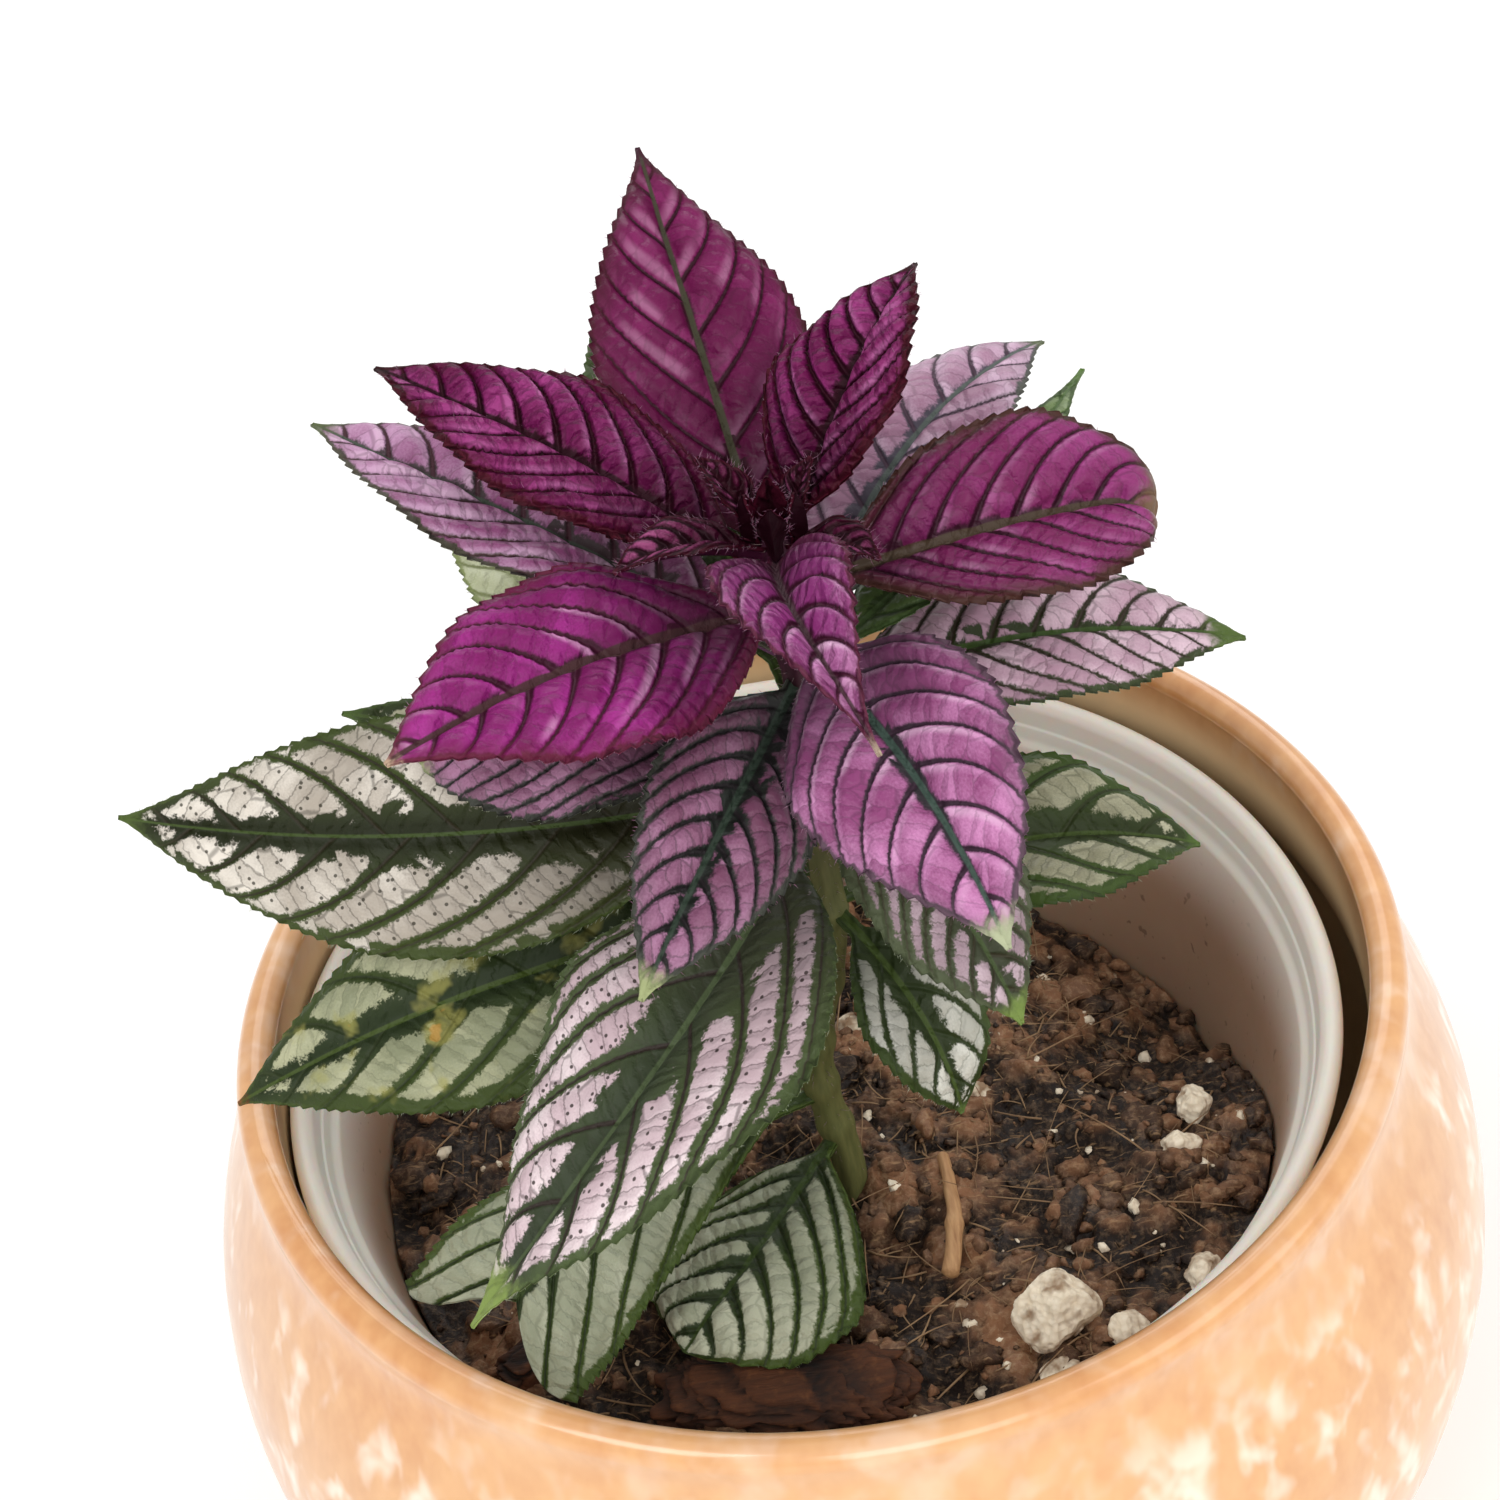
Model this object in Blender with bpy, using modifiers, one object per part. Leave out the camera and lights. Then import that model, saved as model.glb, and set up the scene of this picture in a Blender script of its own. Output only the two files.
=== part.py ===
"""Potted Persian shield: a glazed planter, a nursery pot of soil in it, and the leafy plant.

The origin is the middle of the planter's flat foot, +Z is up, and the plant faces -Y.
"""
import math
from collections import namedtuple

import bmesh
import bpy
import numpy as np
from mathutils import Vector

MM = 0.001
GAP = 0.3 * MM
MERGE = 0.00001

# Planter: a round-bellied glazed cover pot with a rolled lip
PLANTER_HEIGHT = 100 * MM
LIP_CENTRE_RADIUS = 57.45 * MM
LIP_ROLL_RADIUS = 1.85 * MM
PLANTER_FLOOR = 6 * MM
FOOT_RADIUS = 43 * MM
FOOT_CHAMFER = 1.2 * MM
BELLY_RADIUS = 69 * MM
BELLY_HEIGHT = 66 * MM
PLANTER_SIDES = 44
# Radius and height in mm along its inside, from the floor up, and outside, from the lip down
PLANTER_INSIDE = [(38, 6.3), (43, 10.5), (49.5, 20), (55.2, 32), (60.1, 44), (63.1, 55), (63.9, 68),
                  (61.6, 79), (57.2, 85.5), (55.9, 90)]
PLANTER_SHOULDER = [(60.1, 93), (61.6, 90), (64.2, 84.5), (67.0, 77)]
PLANTER_FLANK = [(67.8, 54), (64.2, 42), (59.0, 30.5), (53.0, 19), (47.6, 9), (45.0, 3.4)]

# Nursery pot: thin tapered plastic with a stepped rim band and drain holes
POT_CENTRE = Vector((-1.1 * MM, -0.6 * MM, 0))
POT_TOP = 93.5 * MM
POT_RIM_RADIUS = 54.2 * MM
POT_LEDGE_RADIUS = 50.3 * MM
POT_LEDGE_HEIGHT = 88.4 * MM
POT_FOOT_RADIUS = 36 * MM
POT_WALL = 1.1 * MM
POT_SIDES = 44
DRAIN_HOLES = 6
DRAIN_RADIUS = 4 * MM
DRAIN_RING = 24 * MM
DRAIN_SIDES = 12

# Soil: its mean level, its unevenness and the grid of its top
SOIL_LEVEL = 77.5 * MM
SOIL_RELIEF = 1.3 * MM
SOIL_EDGE_DROP = 0.9 * MM
SOIL_EDGE_RADIUS = 46 * MM
SOIL_RINGS = 9

# Stem: a slightly bowed shoot that tapers to the crown
STEM_FOOT = Vector((0.5 * MM, -12.9 * MM, SOIL_LEVEL))
STEM_TIP = Vector((3.0 * MM, -9.4 * MM, 156 * MM))
STEM_LENGTH = 78 * MM
STEM_BOW = Vector((1.0 * MM, 0.6 * MM, 0))
STEM_KINK = Vector((-2.6 * MM, 0, 0))
STEM_KINK_HEIGHT = 36
STEM_FOOT_RADIUS = 1.6 * MM
STEM_TIP_RADIUS = 1.2 * MM
STEM_IN_SOIL = 14 * MM
STEM_KNOT_SPACING = 6

# Blades
BLADE_THICKNESS = 0.65 * MM
STALK_HALF_WIDTH = 0.62 * MM
TIP_HALF_WIDTH = 0.25 * MM
STALK_GAP = 0.45 * MM
OUTLINE_BASE_POWER = 0.95
TOOTH_DEPTH = 0.035
BLADE_ARCH = 0.25

# One leaf: where it leaves the stem (mm above the soil, degrees round the stem), its length and
# width in mm, and how it bends (degrees). rise is its pitch at the stem, droop what it loses by
# the tip, sweep its turn sideways, tilt and twist its roll, fold the V of its halves and curl
# the roll-under of its tip. taper over 1.2 draws the tip out. On a torn one cut shortens it,
# notch its middle and corner its two corners. rows is its number of steps.
LEAF_FIELDS = {
    "rise": 20, "droop": 40, "sweep": 0, "tilt": 0, "twist": 0, "fold": 18, "curl": 0,
    "stalk": 0.08, "wave": 0.05, "taper": 1.2, "cut": 1.0, "notch": 0.0, "corner": 0.0,
    "rows": 16,
}
Leaf = namedtuple("Leaf", ["name", "height", "turn", "length", "width"] + list(LEAF_FIELDS),
                  defaults=list(LEAF_FIELDS.values()))

CROWN_LEAVES = [
    Leaf("crown_leaf_left", 78, 196, 13, 7, rise=30, droop=50, fold=35, rows=8),
    Leaf("crown_leaf_right", 78, -30, 8, 5.5, rise=20, droop=60, fold=35, rows=8),
    Leaf("crown_leaf_back", 78.5, 140, 8, 4.5, rise=60, droop=30, fold=35, rows=8),
    Leaf("crown_leaf_inner", 78.5, 40, 6, 3.6, rise=65, droop=30, fold=35, rows=8),
]
YOUNG_LEAVES = [
    Leaf("leaf_top", 69, 99, 48, 21, rise=42, droop=20, sweep=-2, tilt=8, stalk=0.15, taper=1.4),
    Leaf("leaf_top_right", 77, 48, 27, 15.5, rise=50, droop=42, fold=26, tilt=-4, twist=-10),
    Leaf("leaf_top_left", 75.3, 149, 38.5, 16.5, rise=30, droop=22, sweep=-4, tilt=-6, fold=22),
    Leaf("leaf_right_curled", 73, 6, 34.8, 21, rise=6, droop=24, sweep=12, tilt=26, twist=8,
         fold=34, curl=80, taper=0.9),
    Leaf("leaf_left_broad", 71.5, 206, 37, 22, rise=18, droop=22, sweep=10, tilt=-14, fold=16,
         stalk=0.02),
    Leaf("leaf_front_small", 77, -98, 28, 15, rise=28, droop=80, sweep=38, tilt=4, fold=44, taper=1.9),
    Leaf("leaf_front_right", 68, -72, 37, 20, rise=12, droop=55, tilt=24, fold=20, twist=4),
    Leaf("leaf_front_left", 64, -112, 34, 15.5, rise=4, droop=32, sweep=-15, tilt=-37, stalk=0.02),
]
MIDDLE_LEAVES = [
    Leaf("leaf_left_lilac", 67, 151, 48, 20, rise=25, droop=18, sweep=-10, tilt=4, fold=26),
    Leaf("leaf_right_lilac", 62, 18, 43, 17, rise=-3, droop=26, sweep=-12, tilt=10, twist=10),
    Leaf("leaf_back_right", 66, 58, 45, 17, rise=26, droop=44, sweep=-18, tilt=3),
    Leaf("leaf_left_under", 58.5, 171, 35, 21, rise=14, droop=34, sweep=-4, tilt=-24, taper=0.8),
    Leaf("leaf_front_under", 57, -54, 31, 17, rise=-22, droop=50),
    Leaf("leaf_back_narrow", 64, 32, 45, 11, rise=13, droop=14, sweep=26, taper=1.6),
    Leaf("leaf_back_hidden", 60, 107, 48, 17, rise=41, droop=46),
]
OLD_LEAVES = [
    Leaf("leaf_left_silver", 52, 179, 67, 24, rise=-4, droop=-4, sweep=-26, tilt=-46, twist=-5),
    Leaf("leaf_left_old", 39.5, 184, 60, 24, rise=-2, droop=28, sweep=-6, tilt=-28),
    Leaf("leaf_front_silver", 49.3, -122, 54, 29, rise=-10, droop=30, sweep=-31, tilt=2, twist=10,
         taper=1.45),
    Leaf("leaf_front_low", 37, -54, 23, 14, rise=-22, droop=66, sweep=-8, fold=24, rows=12),
    Leaf("leaf_right_green", 38, 12, 37, 20, rise=6, droop=42, sweep=-7, tilt=14, fold=26),
    Leaf("leaf_back_pale", 47, 133, 54, 15, rise=24, droop=26, sweep=-12),
    Leaf("leaf_left_low", 42, 154, 48, 15, rise=24, droop=25, tilt=-20),
]
SOIL_LEAVES = [
    Leaf("leaf_soil_left", 14, 198, 44, 21, rise=4, droop=20, sweep=30, tilt=-14, fold=4,
         cut=0.5, notch=0.2, corner=0.1),
    Leaf("leaf_soil_front", 8, 230, 26, 24, rise=-8, droop=-4, sweep=-5, curl=40, tilt=6, fold=0,
         stalk=0.04, taper=0.7),
    Leaf("shoot_leaf_outer", 24, 214, 18, 4.5, rise=-4, droop=60, fold=10, rows=10),
    Leaf("shoot_leaf_inner", 28, 200, 17, 4.5, rise=-6, droop=50, fold=10, rows=10),
    Leaf("shoot_leaf_green", 20.5, 190, 10, 6, rise=4, droop=50, rows=8),
]
BLADE_COLUMNS = 4
MIDRIB_STEPS = 240

# Loose things on the soil: centre x, y (mm), length, width, height (mm), turn (degrees), seed.
# A blunt power under 1 squares the round lump off towards a block.
Lump = namedtuple("Lump", "name x y length width height turn seed blunt", defaults=[1.0])
PERLITE = [
    Lump("perlite_1", 17.6, -33.5, 8.0, 7.0, 6.4, 20, 3, 0.8),
    Lump("perlite_2", 37.4, -9.6, 4.4, 3.8, 3.6, 60, 5),
    Lump("perlite_3", 34.3, -15.8, 4.6, 3.6, 3.2, 10, 8),
    Lump("perlite_4", 32.8, -30.8, 4.2, 3.4, 3.0, 45, 13),
    Lump("perlite_5", 24.0, -36.3, 4.0, 3.6, 3.0, 30, 21),
    Lump("perlite_6", 3.9, 8.8, 4.6, 3.8, 3.2, 0, 34),
    Lump("perlite_7", 15.6, -3.2, 3.2, 2.6, 2.4, 0, 41),
    Lump("perlite_8", 16.6, -39.6, 4.2, 3.4, 3.0, 20, 50),
]
BARK = [
    Lump("bark_chunk", -9.6, -36.6, 25.0, 9.6, 4.8, -10, 55, 0.7),
    Lump("bark_chip", -34.2, -28.0, 6.5, 4.4, 2.8, 40, 89, 0.55),
]
TWIG_FROM = Vector((10.2 * MM, -12.5 * MM, SOIL_LEVEL + 1.6 * MM))
TWIG_TO = Vector((8.4 * MM, -27.5 * MM, SOIL_LEVEL + 1.2 * MM))
TWIG_RADIUS = 0.8 * MM
LUMP_SUNK = 0.3
LUMP_ROUGHNESS = 0.12


def clear_scene():
    """Remove every object so the script starts from nothing."""
    for item in list(bpy.data.objects):
        bpy.data.objects.remove(item, do_unlink=True)


def new_collection(name):
    """Make a collection under the scene and return it."""
    collection = bpy.data.collections.new(name)
    bpy.context.scene.collection.children.link(collection)
    return collection


def material(name, colour, roughness, metallic=0.0):
    """Return a Principled material of one colour (linear RGB)."""
    made = bpy.data.materials.get(name)
    if made is None:
        made = bpy.data.materials.new(name)
        made.use_nodes = True
        shader = made.node_tree.nodes["Principled BSDF"]
        shader.inputs["Base Color"].default_value = (*colour, 1.0)
        shader.inputs["Roughness"].default_value = roughness
        shader.inputs["Metallic"].default_value = metallic
    return made


def add_object(name, data, collection, finish=None):
    """Put a mesh or curve in a collection as an object with one material."""
    made = bpy.data.objects.new(name, data)
    collection.objects.link(made)
    if finish is not None:
        data.materials.append(finish)
    return made


def apply_modifiers(item):
    """Bake an object's modifiers into its own mesh."""
    depsgraph = bpy.context.evaluated_depsgraph_get()
    baked = bpy.data.meshes.new_from_object(item.evaluated_get(depsgraph))
    item.modifiers.clear()
    item.data = baked
    return item


def arc(centre, radius, start, end, steps):
    """Points of an arc in the profile plane, from start to end degrees."""
    angles = [math.radians(start + (end - start) * i / steps) for i in range(steps + 1)]
    return [(centre[0] + radius * math.cos(a), centre[1] + radius * math.sin(a)) for a in angles]


def turned(name, profile, sides, collection, finish=None):
    """Turn a profile of (radius, height) points about Z into a closed solid."""
    mesh = bpy.data.meshes.new(name)
    edges = [(i, i + 1) for i in range(len(profile) - 1)]
    mesh.from_pydata([(r, 0, z) for r, z in profile], edges, [])
    made = add_object(name, mesh, collection, finish)
    screw = made.modifiers.new("Turn", "SCREW")
    screw.steps = sides
    screw.render_steps = sides
    screw.use_merge_vertices = True
    screw.merge_threshold = MERGE
    apply_modifiers(made)
    made.data.shade_smooth()
    made.data.set_sharp_from_angle(angle=math.radians(40))
    return made


def millimetres(points):
    """Turn profile points in millimetres into metres."""
    return [(r * MM, z * MM) for r, z in points]


def planter_profile():
    """Outline of the planter from the middle of its inner floor round to the foot's middle."""
    inside = millimetres(PLANTER_INSIDE)
    lip = arc((LIP_CENTRE_RADIUS, PLANTER_HEIGHT - LIP_ROLL_RADIUS), LIP_ROLL_RADIUS, 200, -30, 7)
    belly = [(BELLY_RADIUS, BELLY_HEIGHT)]
    outside = millimetres(PLANTER_SHOULDER) + belly + millimetres(PLANTER_FLANK)
    foot = [(FOOT_RADIUS + FOOT_CHAMFER, FOOT_CHAMFER), (FOOT_RADIUS, 0)]
    return [(0, PLANTER_FLOOR)] + inside + lip + outside + foot + [(0, 0)]


def pot_bore(height):
    """Inner radius of the nursery pot's tapered wall at a height."""
    share = (height - PLANTER_FLOOR) / (POT_LEDGE_HEIGHT - PLANTER_FLOOR)
    return POT_FOOT_RADIUS - POT_WALL + share * (POT_LEDGE_RADIUS - POT_FOOT_RADIUS + POT_WALL)


def pot_profile():
    """Outline of the nursery pot from the middle of its inner floor round to its underside."""
    under = PLANTER_FLOOR + GAP
    floor = under + POT_WALL
    rim = POT_RIM_RADIUS
    return [
        (0, floor), (pot_bore(floor) - 1.5 * MM, floor),
        (pot_bore(floor + 1.5 * MM), floor + 1.5 * MM),
        (pot_bore(POT_LEDGE_HEIGHT - 0.7 * MM), POT_LEDGE_HEIGHT - 0.7 * MM),
        (POT_LEDGE_RADIUS + 0.7 * MM, POT_LEDGE_HEIGHT),
        (rim - 2.3 * MM, POT_TOP - 1.2 * MM), (rim - 1.7 * MM, POT_TOP - 0.3 * MM),
        (rim - 1.0 * MM, POT_TOP), (rim - 0.3 * MM, POT_TOP - 0.3 * MM),
        (rim, POT_TOP - 1.0 * MM), (rim - 0.2 * MM, POT_TOP - 1.8 * MM),
        (rim - 1.0 * MM, POT_TOP - 2.2 * MM), (POT_LEDGE_RADIUS + 1.9 * MM, POT_LEDGE_HEIGHT),
        (POT_LEDGE_RADIUS + POT_WALL, POT_LEDGE_HEIGHT - 1.4 * MM),
        (POT_FOOT_RADIUS, under + 0.8 * MM), (POT_FOOT_RADIUS - 0.8 * MM, under), (0, under),
    ]


def cut(item, cutter):
    """Subtract a closed cutter from an object with an exact Boolean and hide the cutter."""
    boolean = item.modifiers.new("Cut", "BOOLEAN")
    boolean.operation = "DIFFERENCE"
    boolean.solver = "EXACT"
    boolean.object = cutter
    cutter.hide_render = True
    cutter.display_type = "WIRE"
    apply_modifiers(item)
    return item


def cylinder(name, radius, low, high, centre, sides, collection):
    """A closed upright cylinder between two heights."""
    mesh = bpy.data.meshes.new(name)
    shape = bmesh.new()
    bmesh.ops.create_cone(shape, cap_ends=True, segments=sides, radius1=radius, radius2=radius,
                          depth=high - low)
    bmesh.ops.translate(shape, verts=shape.verts, vec=(centre[0], centre[1], (low + high) / 2))
    shape.to_mesh(mesh)
    shape.free()
    return add_object(name, mesh, collection)


def build_planter(parts):
    """The glazed cover pot, one closed shell with no drain hole."""
    glaze = material("peach glaze", (0.85, 0.56, 0.32), 0.25)
    return turned("planter", planter_profile(), PLANTER_SIDES, parts, glaze)


def build_nursery_pot(parts, cutters):
    """The thin white plastic pot, with a ring of drain holes through its floor."""
    plastic = material("white plastic", (0.55, 0.53, 0.52), 0.45)
    pot = turned("nursery_pot", pot_profile(), POT_SIDES, parts, plastic)
    for vertex in pot.data.vertices:
        vertex.co += POT_CENTRE
    for i in range(DRAIN_HOLES):
        angle = 2 * math.pi * i / DRAIN_HOLES
        centre = POT_CENTRE + Vector((math.cos(angle), math.sin(angle), 0)) * DRAIN_RING
        drill = cylinder(f"drain_{i + 1}", DRAIN_RADIUS, PLANTER_FLOOR - 2 * MM,
                         PLANTER_FLOOR + 4 * MM, centre, DRAIN_SIDES, cutters)
        cut(pot, drill)
    return pot


def soil_height(x, y):
    """Height of the soil at a place in metres: a gentle crown with overlapping ripples."""
    a, b = x / MM, y / MM
    ripple = (0.45 * np.sin(0.31 * a + 0.17 * b + 0.6) + 0.35 * np.sin(0.13 * a - 0.37 * b + 2.1)
              + 0.30 * np.sin(0.52 * a + 0.41 * b + 4.0))
    sunk = SOIL_EDGE_DROP * (np.hypot(x, y) / SOIL_EDGE_RADIUS) ** 4
    return SOIL_LEVEL + SOIL_RELIEF * ripple - sunk


def build_soil(parts):
    """The soil: a turned plug that fills the pot, its top raised by the height formula."""
    earth = material("potting soil", (0.06, 0.035, 0.02), 0.95)
    low = PLANTER_FLOOR + 2 * GAP + POT_WALL
    edge = pot_bore(SOIL_LEVEL - 2 * MM) - GAP
    top = [(edge * i / SOIL_RINGS, SOIL_LEVEL) for i in range(SOIL_RINGS)]
    side = [(edge, SOIL_LEVEL - 2 * MM), (pot_bore(low + 2 * MM) - GAP, low + 2 * MM),
            (pot_bore(low) - 2.2 * MM, low), (0, low)]
    soil = turned("soil", top + [(edge, SOIL_LEVEL - 0.4 * MM)] + side, POT_SIDES, parts, earth)
    for vertex in soil.data.vertices:
        if vertex.co.z > SOIL_LEVEL - 1 * MM:
            vertex.co.z += soil_height(vertex.co.x, vertex.co.y) - SOIL_LEVEL
        vertex.co += POT_CENTRE
    return soil


def stem_point(height):
    """Middle of the stem at a height in mm above the soil."""
    share = height * MM / STEM_LENGTH
    kink = STEM_KINK * math.sin(math.pi * min(height / STEM_KINK_HEIGHT, 1)) ** 2
    return STEM_FOOT.lerp(STEM_TIP, share) + STEM_BOW * math.sin(math.pi * share) + kink


def stem_radius(height):
    """Radius of the stem at a height in mm above the soil."""
    share = height * MM / STEM_LENGTH
    return STEM_FOOT_RADIUS + (STEM_TIP_RADIUS - STEM_FOOT_RADIUS) * share


def tube(name, points, radii, collection, finish):
    """A mesh tube with closed ends along points, one radius at each point."""
    curve = bpy.data.curves.new(name, "CURVE")
    curve.dimensions = "3D"
    curve.bevel_depth = max(radii)
    curve.bevel_resolution = 3
    curve.use_fill_caps = True
    line = curve.splines.new("POLY")
    line.points.add(len(points) - 1)
    for knot, place, radius in zip(line.points, points, radii):
        knot.co = (*place, 1)
        knot.radius = radius / max(radii)
    made = add_object(name + "_curve", curve, collection)
    depsgraph = bpy.context.evaluated_depsgraph_get()
    mesh = bpy.data.meshes.new_from_object(made.evaluated_get(depsgraph))
    bpy.data.objects.remove(made)
    shape = bmesh.new()
    shape.from_mesh(mesh)
    bmesh.ops.remove_doubles(shape, verts=shape.verts, dist=MERGE)
    bmesh.ops.recalc_face_normals(shape, faces=shape.faces)
    shape.to_mesh(mesh)
    shape.free()
    return add_object(name, mesh, collection, finish)


def build_stem(parts):
    """The stem, from its root end in the soil to a blunt growing tip."""
    bark = material("stem skin", (0.12, 0.10, 0.04), 0.7)
    foot = STEM_FOOT - Vector((0, 0, STEM_IN_SOIL))
    points = [foot, STEM_FOOT - Vector((0, 0, 1 * MM))]
    radii = [STEM_FOOT_RADIUS, STEM_FOOT_RADIUS]
    for height in range(6, 79, STEM_KNOT_SPACING):
        points.append(stem_point(height))
        radii.append(stem_radius(height))
    points.append(stem_point(79.5))
    radii.append(0.6 * MM)
    return tube("stem", points, radii, parts, bark)


def blade_half_width(leaf, share):
    """Half width along a leaf: a long-pointed oval on a narrow stalk, with fine teeth."""
    x = np.clip((share - leaf.stalk) / (1 - leaf.stalk), 0, 1) * leaf.cut
    a, b = OUTLINE_BASE_POWER, leaf.taper
    widest = (a / (a + b)) ** a * (b / (a + b)) ** b
    oval = leaf.width * MM / 2 * x ** a * (1 - x) ** b / widest
    tooth = 1 + TOOTH_DEPTH * np.cos(math.pi * share * leaf.rows)
    stalk = STALK_HALF_WIDTH * (1 - x) + TIP_HALF_WIDTH
    return np.sqrt((oval * tooth) ** 2 + stalk ** 2)


def midrib(leaf):
    """Points and frames along the midrib, from its pitch, heading and roll at each step.

    The pitch falls from rise by droop times share to the power 1.5, and by curl over the last
    fifth. The heading turns by sweep and the roll goes from tilt to tilt plus twist.
    """
    share = np.linspace(0, 1, MIDRIB_STEPS + 1)
    last = np.clip((share - 0.78) / 0.22, 0, 1) ** 1.5
    pitch = np.radians(leaf.rise - leaf.droop * share ** 1.5 - leaf.curl * last)
    heading = np.radians(leaf.turn + leaf.sweep * share)
    along = np.stack([np.cos(pitch) * np.cos(heading), np.cos(pitch) * np.sin(heading),
                      np.sin(pitch)], axis=1)
    flat = np.stack([-np.sin(heading), np.cos(heading), np.zeros_like(heading)], axis=1)
    up = np.cross(along, flat)
    roll = np.radians(leaf.tilt + leaf.twist * share)[:, None]
    side = flat * np.cos(roll) + up * np.sin(roll)
    normal = up * np.cos(roll) - flat * np.sin(roll)
    out = stem_radius(leaf.height) + STALK_GAP
    start = stem_point(leaf.height) + out * Vector(
        (math.cos(math.radians(leaf.turn)), math.sin(math.radians(leaf.turn)), 0))
    step = leaf.length * MM / MIDRIB_STEPS
    travel = np.cumsum((along[1:] + along[:-1]) / 2 * step, axis=0)
    points = np.array(start) + np.concatenate([np.zeros((1, 3)), travel])
    return points, side, normal


def build_leaf(leaf, parts, finish):
    """One blade: a flat grid bent by formula, split into triangles and given its thickness.

    A grid point at share u along and v across (-1 to 1) goes to the midrib's point at u, plus
    the side direction times the half width times v, plus the normal times a V fold, an arch
    that turns the margins down and a slow wave along each margin.
    """
    shape = bmesh.new()
    bmesh.ops.create_grid(shape, x_segments=leaf.rows, y_segments=BLADE_COLUMNS, size=1)
    mesh = bpy.data.meshes.new(leaf.name)
    bmesh.ops.triangulate(shape, faces=shape.faces, quad_method="ALTERNATE")
    shape.to_mesh(mesh)
    shape.free()
    flat = np.empty(len(mesh.vertices) * 3)
    mesh.vertices.foreach_get("co", flat)
    flat = flat.reshape(-1, 3)
    u, v = (flat[:, 0] + 1) / 2, flat[:, 1]
    points, side, normal = midrib(leaf)
    torn = leaf.notch * (1 - np.abs(v)) * u + leaf.corner * v ** 4 * u ** 3
    k = np.round(u * (1 - torn) * MIDRIB_STEPS).astype(int)
    half = blade_half_width(leaf, u)
    fold = math.radians(leaf.fold)
    ripple = np.sin(2 * math.pi * (3 * u + 0.25 * np.sign(v) + 0.37 * leaf.height))
    lift = half * (np.abs(v) * math.sin(fold) - BLADE_ARCH * v ** 2 + leaf.wave * np.abs(v) * ripple)
    place = points[k] + side[k] * (half * v * math.cos(fold))[:, None] + normal[k] * lift[:, None]
    mesh.vertices.foreach_set("co", place.ravel())
    made = add_object(leaf.name, mesh, parts, finish)
    solidify = made.modifiers.new("Thickness", "SOLIDIFY")
    solidify.thickness = BLADE_THICKNESS
    solidify.offset = 0
    mesh.shade_smooth()
    return made


def build_leaves(parts):
    """Every leaf of the plant, each age in its own colour."""
    groups = [
        (CROWN_LEAVES, material("crown leaf", (0.12, 0.01, 0.05), 0.5)),
        (YOUNG_LEAVES, material("young leaf", (0.30, 0.02, 0.22), 0.4)),
        (MIDDLE_LEAVES, material("lilac leaf", (0.36, 0.18, 0.33), 0.45)),
        (OLD_LEAVES, material("silver leaf", (0.30, 0.28, 0.27), 0.45)),
        (SOIL_LEAVES, material("shaded leaf", (0.20, 0.24, 0.18), 0.5)),
    ]
    for leaves, finish in groups:
        for leaf in leaves:
            build_leaf(leaf, parts, finish)


def lump_shape(lump, grow):
    """A rough rounded lump as a mesh, each side grown by a margin, resting in the soil."""
    mesh = bpy.data.meshes.new(lump.name)
    shape = bmesh.new()
    bmesh.ops.create_icosphere(shape, subdivisions=2, radius=0.5)
    draw = np.random.default_rng(lump.seed)
    rough = 1 + draw.uniform(-LUMP_ROUGHNESS, LUMP_ROUGHNESS, len(shape.verts))
    size = [side * MM + 2 * grow for side in (lump.length, lump.width, lump.height)]
    turn = math.radians(lump.turn)
    x, y = lump.x * MM, lump.y * MM
    z = soil_height(x - POT_CENTRE.x, y - POT_CENTRE.y) + (0.5 - LUMP_SUNK) * lump.height * MM
    for vertex, factor in zip(shape.verts, rough):
        a, b, c = (math.copysign(abs(2 * co) ** lump.blunt / 2, co) * factor * side
                   for co, side in zip(vertex.co, size))
        vertex.co = (x + a * math.cos(turn) - b * math.sin(turn),
                     y + a * math.sin(turn) + b * math.cos(turn), z + c)
    shape.to_mesh(mesh)
    shape.free()
    return mesh


def build_lump(lump, finish, soil, parts, cutters):
    """A loose lump in its own shallow pit in the soil."""
    pit = add_object(lump.name + "_pit", lump_shape(lump, GAP), cutters)
    cut(soil, pit)
    return add_object(lump.name, lump_shape(lump, 0), parts, finish)


def build_twig(soil, parts, cutters):
    """A short broken twig lying in a groove in the soil."""
    wood = material("twig", (0.45, 0.27, 0.12), 0.8)
    middle = TWIG_FROM.lerp(TWIG_TO, 0.5) + Vector((0.7 * MM, 0, 0.3 * MM))
    points = [TWIG_FROM, TWIG_FROM.lerp(middle, 0.5), middle, middle.lerp(TWIG_TO, 0.5), TWIG_TO]
    radii = [0.6 * TWIG_RADIUS, TWIG_RADIUS, 0.95 * TWIG_RADIUS, TWIG_RADIUS, 0.8 * TWIG_RADIUS]
    groove = tube("twig_groove", points, [r + GAP for r in radii], cutters, None)
    cut(soil, groove)
    return tube("twig", points, radii, parts, wood)


def main():
    """Build the planter, the pot, the soil and what lies on it, then the plant."""
    clear_scene()
    parts = new_collection("potted_persian_shield")
    cutters = new_collection("cutters")
    build_planter(parts)
    build_nursery_pot(parts, cutters)
    soil = build_soil(parts)
    hole = cylinder("stem_hole", STEM_FOOT_RADIUS + GAP, SOIL_LEVEL - STEM_IN_SOIL - GAP,
                    SOIL_LEVEL + 10 * MM, STEM_FOOT, 16, cutters)
    cut(soil, hole)
    white = material("perlite", (0.80, 0.75, 0.68), 0.9)
    brown = material("bark", (0.14, 0.06, 0.03), 0.9)
    for lump in PERLITE:
        build_lump(lump, white, soil, parts, cutters)
    for lump in BARK:
        build_lump(lump, brown, soil, parts, cutters)
    build_twig(soil, parts, cutters)
    build_stem(parts)
    build_leaves(parts)


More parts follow.
